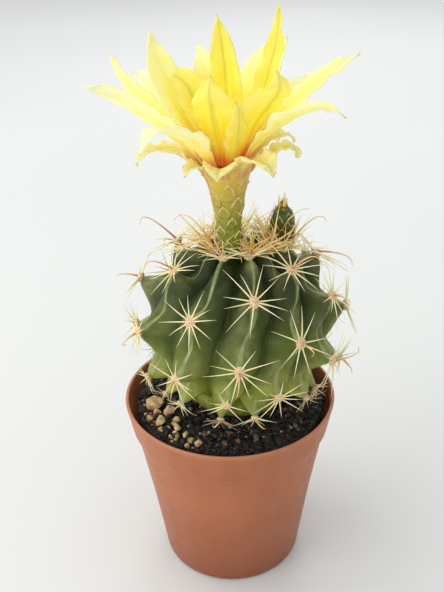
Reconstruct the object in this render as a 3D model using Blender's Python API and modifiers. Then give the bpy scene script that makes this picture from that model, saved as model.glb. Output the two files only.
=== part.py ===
"""A round ribbed cactus in flower, standing in a small plastic pot.

Frame: the origin is the centre of the pot's underside, +Z is up, and the plant's front looks along -Y.
Lengths are worked out in millimetres and turned into metres where a mesh is made.
Azimuths are in degrees about +Z: 0 is the front (-Y) and 90 is the right (+X).
"""

import math
import random

import bmesh
import bpy
from mathutils import Matrix, Vector

MM = 0.001
GAP = 0.3            # between pieces that touch

# Pot: a thin moulded pot, 56 mm over the rim
POT_RIM_R = 28.0
POT_H = 51.2
POT_BAND_H = 8.2     # the slightly wider band under the rim
POT_BAND_R = 26.6    # outer radius at the band's lower edge
POT_SHAPE = [(0.0, 19.2), (22.0, 22.3), (43.0, 25.8)]   # outer radius of the wall under the band, by height
POT_WALL = 0.9
POT_FLOOR = 1.4
FOOT_ROUND = 1.2
DRAIN_HOLES = 5
DRAIN_R = 2.4
DRAIN_CIRCLE_R = 11.0
DRAIN_TURN = 18      # azimuth of the first hole

# Soil
SOIL_EDGE_Z = 48.8
SOIL_MOUND = 0.6     # how much higher the soil is at the plant
SOIL_RELIEF = 0.35
SOIL_RINGS = 5
SOCKET_EASE = 0.9    # room round the stem's neck

# Stem
STEM_X, STEM_Y = 2.55, 0.5
STEM_MID_Z = 71.5
STEM_R = 27.0        # over the areoles
STEM_UP = 23.0
STEM_DOWN = 22.5
STEM_SQUARE = 0.83   # 1 is an ellipse, less is a flatter crown
VALLEY = 5.2         # depth of the furrows between ribs at the waist
NOTCH = 2.8          # depth of the dip below each areole
CROWN_DIP = 1.6      # depth of the dip that the flower and the youngest areoles stand in
NECK_LAT = -62.0     # below this latitude the ribs run into the neck
NECK = [(12.7, 51.6), (10.2, 49.2), (9.0, 46.5), (8.0, 43.5), (5.4, 41.4), (0.0, 40.8)]
COLUMNS_PER_RIB = 8
STEM_ROWS = 26

# Each rib is its areoles from crown to soil, as (azimuth, latitude) in degrees.
RIBS = [
    [(20, 78), (9, 45), (-1, 6), (-8, -16), (-14, -40)],
    [(58, 80), (50, 58), (31, 16), (19, -13), (8, -34)],
    [(87, 68), (66, 30), (54, -3), (40, -26)],
    [(116, 74), (102, 46), (88, 10), (78, -18), (68, -40)],
    [(140, 62), (132, 26), (121, -8), (110, -32)],
    [(172, 78), (164, 46), (155, 10), (146, -18), (138, -40)],
    [(202, 62), (194, 26), (184, -8), (176, -32)],
    [(236, 76), (229, 46), (222, 10), (217, -18), (212, -40)],
    [(268, 66), (262, 28), (258, -6), (252, -30)],
    [(302, 80), (298, 55), (296, 10), (300, -17), (296, -40)],
    [(335, 76), (332, 31), (326, -3), (323, -27)],
]
# The two areoles of each rib whose spines are pieces here: the two nearest these latitudes.
SHOWN_LATS = (42, 4)

# Spines
PAD_R = 1.5          # felt pad of an areole
PAD_H = 0.9
RADIALS = 10
RADIAL_LEN = 7.6
RADIAL_RISE = 22.0   # above the tangent plane, in degrees
SPINE_HALF = 0.28    # half the thickness at the foot
HOOK_LEN = 6.5
HOOK_R = 1.6         # radius of the hook's bend
HOOK_BENDS = (50, 100, 150)   # how far it has bent at each step, in degrees

# Flower
FLOWER_FOOT = (0.65, -3.5, 94.3)
FLOWER_LEAN_X = -1.0  # degrees, towards -X
FLOWER_LEAN_Y = 0.0   # degrees, towards the front
TUBE_LEN = 22.5
TUBE_PROFILE = [(0.0, 2.2), (3.0, 2.6), (9.0, 3.1), (14.5, 4.0), (19.0, 5.1), (22.5, 6.4)]
THROAT_R = 2.6
THROAT_DEPTH = 5.0
PETAL_THICK = 0.3
PETAL_ROWS = 7
PETAL_CUP = 0.22     # how far the margins rise, as a share of half the width
STAMENS = [(0.8, 0.0), (1.0, 11.4), (2.2, 11.0), (1.7, 5.5), (1.4, 0.0), (0.8, 0.0)]   # (radius, height) in the throat
STYLE = [(0.0, 15.6), (1.3, 15.2), (1.9, 13.8), (0.5, 12.2), (0.45, 0.0), (0.0, 0.0)]

# Rings of petals: name, radius of the ring, height above the tube's top, width at the foot, and its petals as
# (azimuth, opening at the foot, opening at the tip, length, width); an opening is degrees off the flower's axis.
PETAL_RINGS = [
    ("petal_inner", 3.0, 0.4, 2.0, [
        (-28, 8, 31, 22, 9.0),
        (22, 34, 6, 18, 4.0),
        (66, 18, 51, 24, 6.5),
        (128, 37, 11, 35.5, 8.0),
        (184, 12, -24, 31.5, 6.0),
        (241, 13, 36, 24, 5.2),
    ]),
    ("petal_middle", 4.3, 0.4, 2.4, [
        (70, 34, 80, 28, 6.0),
        (103, 41, 60, 33.5, 5.0),
        (158, 38, 52, 32, 7.0),
        (209, 26, 4, 25, 5.4),
        (244, 31, 21, 30, 5.0),
        (277, 43, 39, 32, 3.8),
    ]),
    ("petal_outer", 5.5, 0.4, 2.6, [
        (138, 52, 66, 30, 6.5),
        (184, 44, 58, 31, 6.5),
        (226, 46, 60, 30, 6.5),
        (292, 42, 54, 33.5, 3.9),
        (321, 32, 87, 27, 5.4),
    ]),
    ("sepal", 6.7, -1.6, 2.6, [
        (-10, 12, 130, 9, 6.0),
        (-46, 14, 130, 9, 4.0),
        (-73, 32, 104, 18.5, 3.6),
        (-102, 40, 110, 16, 5.0),
        (38, 12, 137, 13, 7.5),
        (84, 31, 100, 13.5, 3.4),
        (124, 40, 110, 16, 5.0),
        (168, 40, 120, 14, 5.0),
        (214, 40, 110, 16, 5.0),
    ]),
]

# Bud
BUD_FOOT = (13.75, 2.5, 93.0)
BUD_R = 2.8
BUD_LEN = 10.5
BUD_SWELL = 0.15     # how much fatter it is below its middle

# Grit lying on the soil, as (azimuth, distance from the pot's axis, size, squash)
STONES = [
    (-77, 20.8, 2.7, 0.75),
    (-66, 17.3, 1.7, 0.8),
    (-57, 21.6, 1.9, 0.75),
    (-44, 19.9, 1.5, 0.8),
    (-22, 22.2, 1.2, 0.9),
]
STONE_LIFT = 0.55    # clears the gentle lumps under a stone


# ---------------------------------------------------------------- scene and materials

def clear_scene():
    for obj in list(bpy.data.objects):
        bpy.data.objects.remove(obj)


def new_collection(name):
    collection = bpy.data.collections.new(name)
    bpy.context.scene.collection.children.link(collection)
    return collection


def material(name, colour, roughness, metallic=0.0):
    made = bpy.data.materials.get(name)
    if made:
        return made
    made = bpy.data.materials.new(name)
    made.use_nodes = True
    shader = made.node_tree.nodes["Principled BSDF"]
    shader.inputs["Base Color"].default_value = (*colour, 1.0)
    shader.inputs["Roughness"].default_value = roughness
    shader.inputs["Metallic"].default_value = metallic
    made.diffuse_color = (*colour, 1.0)
    return made


def terracotta_plastic():
    return material("terracotta_plastic", (0.55, 0.22, 0.12), 0.45)


def potting_mix():
    return material("potting_mix", (0.02, 0.017, 0.015), 0.95)


def green_skin():
    return material("green_skin", (0.06, 0.13, 0.03), 0.5)


def pale_spine():
    return material("pale_spine", (0.80, 0.66, 0.36), 0.5)


def flower_green():
    return material("flower_green", (0.33, 0.38, 0.04), 0.45)


def yellow_petal():
    return material("yellow_petal", (0.88, 0.76, 0.12), 0.45)


def pollen_yellow():
    return material("pollen_yellow", (0.90, 0.60, 0.05), 0.6)


def bud_green():
    return material("bud_green", (0.05, 0.09, 0.02), 0.5)


def tan_grit():
    return material("tan_grit", (0.50, 0.36, 0.20), 0.85)


# ---------------------------------------------------------------- helpers

def face_outwards(bm):
    """Turns a closed mesh's faces to point outwards."""
    bmesh.ops.recalc_face_normals(bm, faces=bm.faces)
    if bm.calc_volume(signed=True) < 0:
        bmesh.ops.reverse_faces(bm, faces=bm.faces)


def object_from(bm, name, collection, skin, sharp_degrees=40):
    """Turns a bmesh in millimetres into an object in metres, shaded smooth except at sharp edges."""
    bmesh.ops.scale(bm, verts=bm.verts, vec=(MM, MM, MM))
    mesh = bpy.data.meshes.new(name)
    bm.to_mesh(mesh)
    bm.free()
    mesh.shade_smooth()
    mesh.set_sharp_from_angle(angle=math.radians(sharp_degrees))
    obj = bpy.data.objects.new(name, mesh)
    collection.objects.link(obj)
    obj.data.materials.append(skin)
    return obj


def turned(name, profile, segments, collection, skin):
    """A turned piece: the profile, as (radius, height), runs down its outer side, and a Screw turns it."""
    bm = bmesh.new()
    verts = [bm.verts.new((r, 0.0, z)) for r, z in profile]
    for a, b in zip(verts, verts[1:]):
        bm.edges.new((a, b))
    obj = object_from(bm, name, collection, skin)
    screw = obj.modifiers.new("turn", "SCREW")
    screw.steps = screw.render_steps = segments
    screw.use_merge_vertices = True
    screw.merge_threshold = 0.00001
    screw.use_smooth_shade = True
    return obj


def arc(centre, radius, start, end, count):
    """Points on an arc in the (radius, height) plane, angles in degrees."""
    angles = [math.radians(start + (end - start) * i / (count - 1)) for i in range(count)]
    return [(centre[0] + radius * math.cos(a), centre[1] + radius * math.sin(a)) for a in angles]


def around(azimuth, radius, z=0.0):
    a = math.radians(azimuth)
    return Vector((radius * math.sin(a), -radius * math.cos(a), z))


def smooth_step(x):
    x = max(0.0, min(1.0, x))
    return x * x * (3 - 2 * x)


def lerp(a, b, t):
    return a + (b - a) * t


def along(points, t):
    """The point a share t of the way through a list of (radius, height) points."""
    x = max(0.0, min(1.0, t)) * (len(points) - 1)
    i = min(int(x), len(points) - 2)
    return tuple(lerp(a, b, x - i) for a, b in zip(points[i], points[i + 1]))


# ---------------------------------------------------------------- pot and soil

def pot_wall_radius(z):
    """Outer radius of the tapered wall under the band."""
    (low_z, low_r), (mid_z, mid_r), (top_z, top_r) = POT_SHAPE
    if z < mid_z:
        return lerp(low_r, mid_r, (z - low_z) / (mid_z - low_z))
    return lerp(mid_r, top_r, (z - mid_z) / (top_z - mid_z))


def make_pot(collection, cutters):
    band_z = POT_H - POT_BAND_H
    waist_z, waist_r = POT_SHAPE[1]
    foot_r = pot_wall_radius(FOOT_ROUND)
    inner_foot_r = foot_r - POT_WALL
    lip = POT_WALL / 2
    profile = [(0.0, POT_FLOOR), (inner_foot_r - 0.6, POT_FLOOR), (inner_foot_r + 0.1, POT_FLOOR + 0.7)]
    profile += [(waist_r - POT_WALL, waist_z)]
    profile += [(pot_wall_radius(band_z) - POT_WALL, band_z), (POT_BAND_R - POT_WALL, band_z + 1.2)]
    profile += arc((POT_RIM_R - lip, POT_H - lip), lip, 180, 0, 5)
    profile += [(POT_BAND_R, band_z), (pot_wall_radius(band_z - 0.4), band_z - 0.4), (waist_r, waist_z)]
    profile += arc((foot_r - FOOT_ROUND, FOOT_ROUND), FOOT_ROUND, 0, -90, 4)
    profile += [(0.0, 0.0)]
    pot = turned("pot", profile, 56, collection, terracotta_plastic())
    for hole in range(DRAIN_HOLES):
        at = around(360 * hole / DRAIN_HOLES + DRAIN_TURN, DRAIN_CIRCLE_R, POT_FLOOR / 2) * MM
        bpy.ops.mesh.primitive_cylinder_add(vertices=16, radius=DRAIN_R * MM, depth=6 * MM, location=at)
        cutter = bpy.context.object
        cutter.name = f"drain_cutter_{hole + 1}"
        for owner in list(cutter.users_collection):
            owner.objects.unlink(cutter)
        cutters.objects.link(cutter)
        cutter.hide_render = True
        cutter.display_type = "WIRE"
        cut = pot.modifiers.new(f"drain_{hole + 1}", "BOOLEAN")
        cut.operation = "DIFFERENCE"
        cut.object = cutter
    return pot


def soil_height(x, y):
    """Height of the soil's surface, with its mound at the plant and gentle lumps."""
    r = math.hypot(x, y)
    lumps = math.sin(0.55 * x + 1.0) * math.cos(0.47 * y) + 0.5 * math.sin(0.9 * y + 0.4 * x)
    return SOIL_EDGE_Z + SOIL_MOUND * smooth_step(1 - r / 24) + SOIL_RELIEF * lumps * smooth_step(r / 12 - 0.9)


def make_soil(collection):
    socket_r, socket_z = NECK[1][0] + SOCKET_EASE, NECK[-1][1] - GAP
    edge_r = pot_wall_radius(POT_H - POT_BAND_H) - POT_WALL - GAP - 0.1
    floor_r = pot_wall_radius(0) - POT_WALL - GAP - 0.9
    profile = [(0.0, socket_z), (NECK[-2][0] + GAP + 0.3, socket_z + 0.3), (NECK[2][0] + GAP + 0.4, NECK[3][1])]
    profile += [(lerp(socket_r, edge_r, i / SOIL_RINGS), SOIL_EDGE_Z) for i in range(SOIL_RINGS + 1)]
    waist_z, waist_r = POT_SHAPE[1]
    profile += [(edge_r - 0.1, POT_H - POT_BAND_H), (waist_r - POT_WALL - GAP - 0.1, waist_z)]
    profile += [(floor_r, POT_FLOOR + GAP + 0.7), (floor_r - 0.8, POT_FLOOR + GAP)]
    profile += [(0.0, POT_FLOOR + GAP)]
    bm = bmesh.new()
    verts = [bm.verts.new((r, 0.0, z)) for r, z in profile]
    edges = [bm.edges.new((a, b)) for a, b in zip(verts, verts[1:])]
    bmesh.ops.spin(bm, geom=verts + edges, axis=(0, 0, 1), cent=(0, 0, 0), angle=2 * math.pi, steps=40,
                   use_merge=True)
    bmesh.ops.remove_doubles(bm, verts=bm.verts, dist=0.001)
    for vert in bm.verts:
        if abs(vert.co.z - SOIL_EDGE_Z) < 0.01:
            vert.co.z = soil_height(vert.co.x, vert.co.y)
        in_socket = vert.co.xy.length < socket_r + GAP and vert.co.z > POT_SHAPE[1][0]
        if in_socket:
            vert.co.x += STEM_X
            vert.co.y += STEM_Y
    face_outwards(bm)
    return object_from(bm, "soil", collection, potting_mix())


def make_stones(collection):
    for index, (azimuth, distance, size, squash) in enumerate(STONES, 1):
        rng = random.Random(40 + index)
        bm = bmesh.new()
        bmesh.ops.create_icosphere(bm, subdivisions=1, radius=size)
        for vert in bm.verts:
            vert.co *= rng.uniform(0.82, 1.08)
        spin = Matrix.Rotation(rng.uniform(0, math.pi), 4, "Z")
        bmesh.ops.scale(bm, verts=bm.verts, vec=(1.25, 0.85, squash))
        bmesh.ops.transform(bm, verts=bm.verts, matrix=spin)
        low = min(vert.co.z for vert in bm.verts)
        place = around(azimuth, distance)
        rest_z = soil_height(place.x, place.y) + STONE_LIFT
        bmesh.ops.translate(bm, verts=bm.verts, vec=(place.x, place.y, rest_z - low))
        object_from(bm, f"stone_{index}", collection, tan_grit(), sharp_degrees=20)


# ---------------------------------------------------------------- stem

def profile_point(lat):
    """(radius, height) of the plain stem, without ribs, at a latitude in degrees."""
    if lat < NECK_LAT:
        return along(NECK, (NECK_LAT - lat) / (90 + NECK_LAT))
    c, s = math.cos(math.radians(lat)), math.sin(math.radians(lat))
    if lat >= 0:
        dip = CROWN_DIP * smooth_step((lat - 70) / 20)
        return STEM_R * c ** STEM_SQUARE, STEM_MID_Z + STEM_UP * s ** STEM_SQUARE - dip
    return STEM_R * c, STEM_MID_Z + STEM_DOWN * s


def profile_normal(lat):
    """Outward normal of the plain stem in the (radius, height) plane."""
    (r0, z0), (r1, z1) = profile_point(lat - 1.5), profile_point(min(lat + 1.5, 90))
    length = math.hypot(r1 - r0, z1 - z0)
    return (z1 - z0) / length, (r0 - r1) / length


def rib_at(rib, lat):
    """(azimuth of the crest, how deep the notch is, how swollen the rib is) at a latitude."""
    if lat >= rib[0][1]:
        return rib[0][0], 0.0, 0.6
    for (az_a, lat_a), (az_b, lat_b) in zip(rib, rib[1:]):
        if lat >= lat_b:
            w = (lat_a - lat) / (lat_a - lat_b)
            azimuth = lerp(az_a, az_b, smooth_step(w))
            notch = math.sin(math.pi * w ** 0.72) ** 1.3
            return azimuth, notch, 1 - notch
    below = (rib[-1][1] - lat) / 20
    return rib[-1][0], smooth_step(below), 1 - smooth_step(below)


def stem_point(column, lat):
    """A point on the ribbed skin. Column counts ribs: 2.5 is the furrow between ribs 2 and 3."""
    count = len(RIBS)
    k = int(math.floor(column)) % count
    u = column - math.floor(column)
    az_a, notch_a, swell_a = rib_at(RIBS[k], lat)
    az_b, notch_b, swell_b = rib_at(RIBS[(k + 1) % count], lat)
    if k == count - 1:
        az_b += 360
    azimuth = lerp(az_a, az_b, u)
    notch, swell = (notch_a, swell_a) if u < 0.5 else (notch_b, swell_b)
    flank = 2 * min(u, 1 - u)
    crest = 1 - flank ** (1.0 + 0.5 * swell)
    r, z = profile_point(lat)
    nr, nz = profile_normal(lat)
    ribbed = smooth_step((lat - NECK_LAT) / 20) * smooth_step((88 - lat) / 30)
    depth = ribbed * ((1 - crest) * VALLEY + crest * notch * NOTCH)
    at = around(azimuth, r - nr * depth, z - nz * depth)
    return at + Vector((STEM_X, STEM_Y, 0))


def make_stem(collection):
    count = len(RIBS)
    bm = bmesh.new()
    bmesh.ops.create_uvsphere(bm, u_segments=count * COLUMNS_PER_RIB, v_segments=STEM_ROWS, radius=1.0)
    for vert in bm.verts:
        lat = math.degrees(math.asin(max(-1, min(1, vert.co.z))))
        turn = math.atan2(vert.co.y, vert.co.x) / (2 * math.pi) * count
        column = round(turn * COLUMNS_PER_RIB) / COLUMNS_PER_RIB
        if abs(lat) > 89.9:
            r, z = profile_point(math.copysign(90, lat))
            vert.co = Vector((STEM_X, STEM_Y, z))
        else:
            vert.co = stem_point(column % count, lat)
    face_outwards(bm)
    return object_from(bm, "stem", collection, green_skin(), sharp_degrees=50)


# ---------------------------------------------------------------- spines

def areole_frame(azimuth, lat, lift):
    """Place and turn of an areole: local Z stands out of the skin and local X points up the rib."""
    r, z = profile_point(lat)
    nr, nz = profile_normal(lat)
    out = around(azimuth, nr, nz).normalized()
    up = around(azimuth, -nz, nr).normalized()
    side = out.cross(up)
    at = around(azimuth, r, z) + Vector((STEM_X, STEM_Y, 0)) + out * lift
    return Matrix.Translation(at) @ Matrix((up, side, out)).transposed().to_4x4()


def pull_to_point(bm, face):
    """Ends a spine: the face's corners meet in one vertex."""
    centre = face.calc_center_median()
    bmesh.ops.pointmerge(bm, verts=list(face.verts), merge_co=centre)


def move_face(face, centre, scale, facing):
    """Moves a face to a new centre, scaled, and turned to face the way given."""
    face.normal_update()
    turn = face.normal.rotation_difference(facing)
    old = face.calc_center_median()
    for vert in face.verts:
        vert.co = centre + turn @ (vert.co - old) * scale


def extrude(bm, face):
    """Extrudes one face and gives back its new copy."""
    made = bmesh.ops.extrude_discrete_faces(bm, faces=[face])
    return made["faces"][0]


def grow_radial(bm, side, rng):
    """Draws one side of the pad out to a flat-lying spine."""
    foot = side.calc_center_median()
    outward = Vector((foot.x, foot.y, 0)).normalized()
    outward.rotate(Matrix.Rotation(math.radians(rng.uniform(-6, 6)), 3, "Z"))
    rise = math.radians(RADIAL_RISE + rng.uniform(-6, 8))
    facing = outward * math.cos(rise) + Vector((0, 0, math.sin(rise)))
    narrowing = SPINE_HALF / (PAD_R * math.sin(math.pi / RADIALS))
    shoulder = extrude(bm, side)
    move_face(shoulder, foot + facing * 0.5, narrowing, facing)
    tip = extrude(bm, shoulder)
    move_face(tip, foot + facing * RADIAL_LEN * rng.uniform(0.8, 1.0), 0.1, facing)
    pull_to_point(bm, tip)


def grow_hook(bm, top, rng):
    """Draws the middle of the pad's top out to a straight spine that ends in a hook."""
    bmesh.ops.inset_individual(bm, faces=[top], thickness=PAD_R * 0.8 - SPINE_HALF * 1.3)
    corners = list(top.verts)
    for first, second in zip(corners[::2], corners[1::2]):
        bmesh.ops.pointmerge(bm, verts=[first, second], merge_co=(first.co + second.co) / 2)
    lean = math.radians(rng.uniform(-12, 12))
    shaft = Vector((math.sin(lean), 0.0, math.cos(lean)))
    turn = Vector((0.0, 1.0, 0.0))
    turn.rotate(Matrix.Rotation(math.radians(rng.uniform(0, 360)), 3, "Z"))
    turn = (turn - shaft * turn.dot(shaft)).normalized()
    bend_at = top.calc_center_median() + shaft * HOOK_LEN
    tip = extrude(bm, top)
    move_face(tip, bend_at, 0.7, shaft)
    for bent in HOOK_BENDS:
        a = math.radians(bent)
        tip = extrude(bm, tip)
        at = bend_at + turn * HOOK_R * (1 - math.cos(a)) + shaft * HOOK_R * math.sin(a)
        move_face(tip, at, 0.85, shaft * math.cos(a) + turn * math.sin(a))
    pull_to_point(bm, tip)


def make_spines(collection, name, frame, seed):
    """A felt pad with radial spines round it and one hooked central spine."""
    rng = random.Random(seed)
    bm = bmesh.new()
    bmesh.ops.create_cone(bm, cap_ends=True, segments=RADIALS, radius1=PAD_R, radius2=PAD_R * 0.8, depth=PAD_H)
    bmesh.ops.translate(bm, verts=bm.verts, vec=(0, 0, PAD_H / 2))
    sides = [face for face in bm.faces if len(face.verts) == 4]
    caps = [face for face in bm.faces if len(face.verts) > 4]
    top = max(caps, key=lambda face: face.calc_center_median().z)
    for side in sides:
        grow_radial(bm, side, rng)
    grow_hook(bm, top, rng)
    bmesh.ops.transform(bm, verts=bm.verts, matrix=frame)
    face_outwards(bm)
    return object_from(bm, name, collection, pale_spine())


def make_all_spines(collection):
    for k, rib in enumerate(RIBS, 1):
        for word, target in zip(("upper", "waist"), SHOWN_LATS):
            azimuth, lat = min(rib, key=lambda areole: abs(areole[1] - target))
            frame = areole_frame(azimuth, lat, GAP)
            make_spines(collection, f"spines_rib{k:02d}_{word}", frame, seed=10 * k + len(word))


# ---------------------------------------------------------------- flower

def flower_frame():
    lean = Matrix.Rotation(math.radians(FLOWER_LEAN_X), 4, "Y") @ Matrix.Rotation(math.radians(-FLOWER_LEAN_Y), 4, "X")
    return Matrix.Translation(Vector(FLOWER_FOOT)) @ lean


def make_tube(collection):
    profile = [(0.0, TUBE_LEN - THROAT_DEPTH), (THROAT_R * 0.7, TUBE_LEN - THROAT_DEPTH), (THROAT_R, TUBE_LEN)]
    profile += [(r, z) for z, r in reversed(TUBE_PROFILE)]
    profile += [(0.0, 0.0)]
    tube = turned("flower_tube", profile, 20, collection, flower_green())
    tube.matrix_world = metre_matrix(flower_frame())
    return tube


def metre_matrix(matrix):
    """The same turn with its place in metres, for an object whose mesh is already in metres."""
    moved = matrix.copy()
    moved.translation *= MM
    return moved


def petal_spine(opening_base, opening_tip, length, ring_r, start_z, count):
    """Points and directions along a petal's midline, in the (radius, height) plane of the flower."""
    points, r, z = [], ring_r, start_z
    step = length / count
    for i in range(count + 1):
        angle = math.radians(lerp(opening_base, opening_tip, i / count))
        points.append((r, z, angle))
        r += step * math.sin(angle)
        z += step * math.cos(angle)
    return points


def petal_half_width(t, width, base_width):
    """Half the width of a petal at a share t of its length: narrow foot, broad middle, pointed tip."""
    body = math.sin(math.pi * min(1.0, t ** 0.85)) ** 0.9
    return max(lerp(base_width, 0.3, t) / 2, body * width / 2)


def make_petal(collection, name, numbers, ring_r, start_z, base_width):
    azimuth, opening_base, opening_tip, length, width = numbers
    rows = PETAL_ROWS
    line = petal_spine(opening_base, opening_tip, length, ring_r, start_z, rows)
    bm = bmesh.new()
    bmesh.ops.create_grid(bm, x_segments=2, y_segments=rows, size=1.0)
    for vert in bm.verts:
        across, t = vert.co.x, (vert.co.y + 1) / 2
        r, z, angle = line[round(t * rows)]
        half = petal_half_width(t, width, base_width)
        cup = PETAL_CUP * half * across * across
        inward = Vector((-math.cos(angle), 0.0, math.sin(angle)))
        vert.co = Vector((r, across * half, z)) + inward * cup
    spin = Matrix.Rotation(math.radians(azimuth - 90), 4, "Z")
    bmesh.ops.transform(bm, verts=bm.verts, matrix=spin)
    petal = object_from(bm, name, collection, yellow_petal())
    thick = petal.modifiers.new("thickness", "SOLIDIFY")
    thick.thickness = PETAL_THICK * MM
    thick.offset = 0.0
    petal.matrix_world = metre_matrix(flower_frame())
    return petal


def make_flower(collection):
    make_tube(collection)
    for ring, ring_r, rise, base_width, petals in PETAL_RINGS:
        for i, numbers in enumerate(petals, 1):
            make_petal(collection, f"{ring}_{i}", numbers, ring_r, TUBE_LEN + rise, base_width)


def make_flower_heart(collection):
    """The ring of stamens and, standing in it, the style with its stigma."""
    floor = TUBE_LEN - THROAT_DEPTH + GAP
    for name, outline, segments in (("stamens", STAMENS, 16), ("style", STYLE, 12)):
        profile = [(r, floor + z) for r, z in outline]
        piece = turned(name, profile, segments, collection, pollen_yellow())
        piece.matrix_world = metre_matrix(flower_frame())


def make_bud(collection):
    bm = bmesh.new()
    bmesh.ops.create_uvsphere(bm, u_segments=14, v_segments=8, radius=1.0)
    for vert in bm.verts:
        t = (vert.co.z + 1) / 2
        swell = 1.0 + BUD_SWELL * math.cos(math.pi * (t - 0.3))
        vert.co = Vector((vert.co.x * BUD_R * swell, vert.co.y * BUD_R * swell, t * BUD_LEN))
    bmesh.ops.translate(bm, verts=bm.verts, vec=BUD_FOOT)
    return object_from(bm, "flower_bud", collection, bud_green())


def main():
    clear_scene()
    collection = new_collection("potted_round_cactus")
    cutters = new_collection("cutters")
    make_pot(collection, cutters)
    make_soil(collection)
    make_stones(collection)
    make_stem(collection)
    make_all_spines(collection)
    make_flower(collection)
    make_flower_heart(collection)
    make_bud(collection)


main()
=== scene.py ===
# %% [markdown]
# # A round cactus in flower, in a small nursery pot
# The plant is a ribbed green ball with starry pale spines, one open yellow flower and a bud. It stands in a
# thin tapered pot full of dark soil. The frame below is the plant's plain model, which gives every size and
# place. Each cell then makes one piece of the real plant and lays it over its plain stand-in.

# %% Load the frame
import math
import random

import bmesh
import bpy
import numpy as np
from mathutils import Matrix, Quaternion, Vector, noise


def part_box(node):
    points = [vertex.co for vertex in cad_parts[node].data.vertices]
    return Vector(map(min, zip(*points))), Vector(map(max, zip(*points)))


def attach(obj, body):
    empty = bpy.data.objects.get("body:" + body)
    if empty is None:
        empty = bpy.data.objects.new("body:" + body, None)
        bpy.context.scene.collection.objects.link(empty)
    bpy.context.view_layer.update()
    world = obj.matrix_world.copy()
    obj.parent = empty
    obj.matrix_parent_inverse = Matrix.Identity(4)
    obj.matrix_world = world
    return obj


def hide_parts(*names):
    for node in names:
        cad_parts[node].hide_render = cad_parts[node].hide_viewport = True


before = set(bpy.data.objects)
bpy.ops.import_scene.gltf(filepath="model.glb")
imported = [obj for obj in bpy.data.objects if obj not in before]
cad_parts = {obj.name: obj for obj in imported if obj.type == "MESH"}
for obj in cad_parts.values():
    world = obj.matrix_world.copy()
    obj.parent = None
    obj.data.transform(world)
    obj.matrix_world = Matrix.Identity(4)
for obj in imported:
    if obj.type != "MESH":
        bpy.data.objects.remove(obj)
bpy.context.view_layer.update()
MM = 0.001

# %% [markdown]
# Lengths are easiest to think about in millimetres, while Blender's unit is the metre. So every shape here is
# made in millimetres, and one function turns it into a finished piece in metres. That function also hands the
# piece its finish, and hides the plain stand-ins it takes the place of.

# %% Turn a bmesh into a finished piece


def mesh_from(bm, name):
    """The bmesh as a mesh. The bmesh is freed."""
    mesh = bpy.data.meshes.new(name)
    bm.to_mesh(mesh)
    bm.free()
    return mesh


def add_object(name, data):
    new = bpy.data.objects.new(name, data)
    bpy.context.scene.collection.objects.link(new)
    return new


def pour(bm, total):
    """Moves all of a bmesh into a bigger one."""
    mesh = mesh_from(bm, "share")
    total.from_mesh(mesh)
    bpy.data.meshes.remove(mesh)


def set_all(bm, name, value):
    """Gives every point the same number, for the finish to read."""
    layer = bm.verts.layers.float.new(name)
    for vert in bm.verts:
        vert[layer] = value


def face_outwards(bm):
    bmesh.ops.recalc_face_normals(bm, faces=bm.faces)
    if bm.calc_volume(signed=True) < 0:
        bmesh.ops.reverse_faces(bm, faces=bm.faces)


def piece_from(bm, name, finishes, stands_for=()):
    """A finished piece in metres, shaded smooth, that belongs to the plant's one body."""
    mesh = mesh_from(bm, name)
    mesh.transform(Matrix.Scale(MM, 4))
    mesh.shade_smooth()
    for finish in finishes:
        mesh.materials.append(finish)
    piece = add_object(name, mesh)
    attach(piece, "root")
    if stands_for:
        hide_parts(*stands_for)
    print(name, "faces:", len(mesh.polygons))
    return piece


def box_mm(node):
    low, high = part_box(node)
    return low / MM, high / MM


def smooth_step(x):
    x = max(0.0, min(1.0, x))
    return x * x * (3 - 2 * x)


def lerp(a, b, t):
    return a + (b - a) * t


def around(azimuth, radius, z=0.0):
    """A point at an azimuth in degrees: 0 is the front and 90 is the right."""
    a = math.radians(azimuth)
    return Vector((radius * math.sin(a), -radius * math.cos(a), z))


def rough_noise(point, size):
    """Even noise from -1 to 1 with lumps of about the size given."""
    return noise.noise(point / size)


# %% [markdown]
# Every finish is a small network of shader nodes. The same few steps come back each time: some noise that is
# fixed to the object, a colour ramp, a mix of two colours and a bump. Writing those as short helpers keeps
# each finish readable, and the noise scale is given as a size in millimetres.

# %% Helpers for finishes


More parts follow.
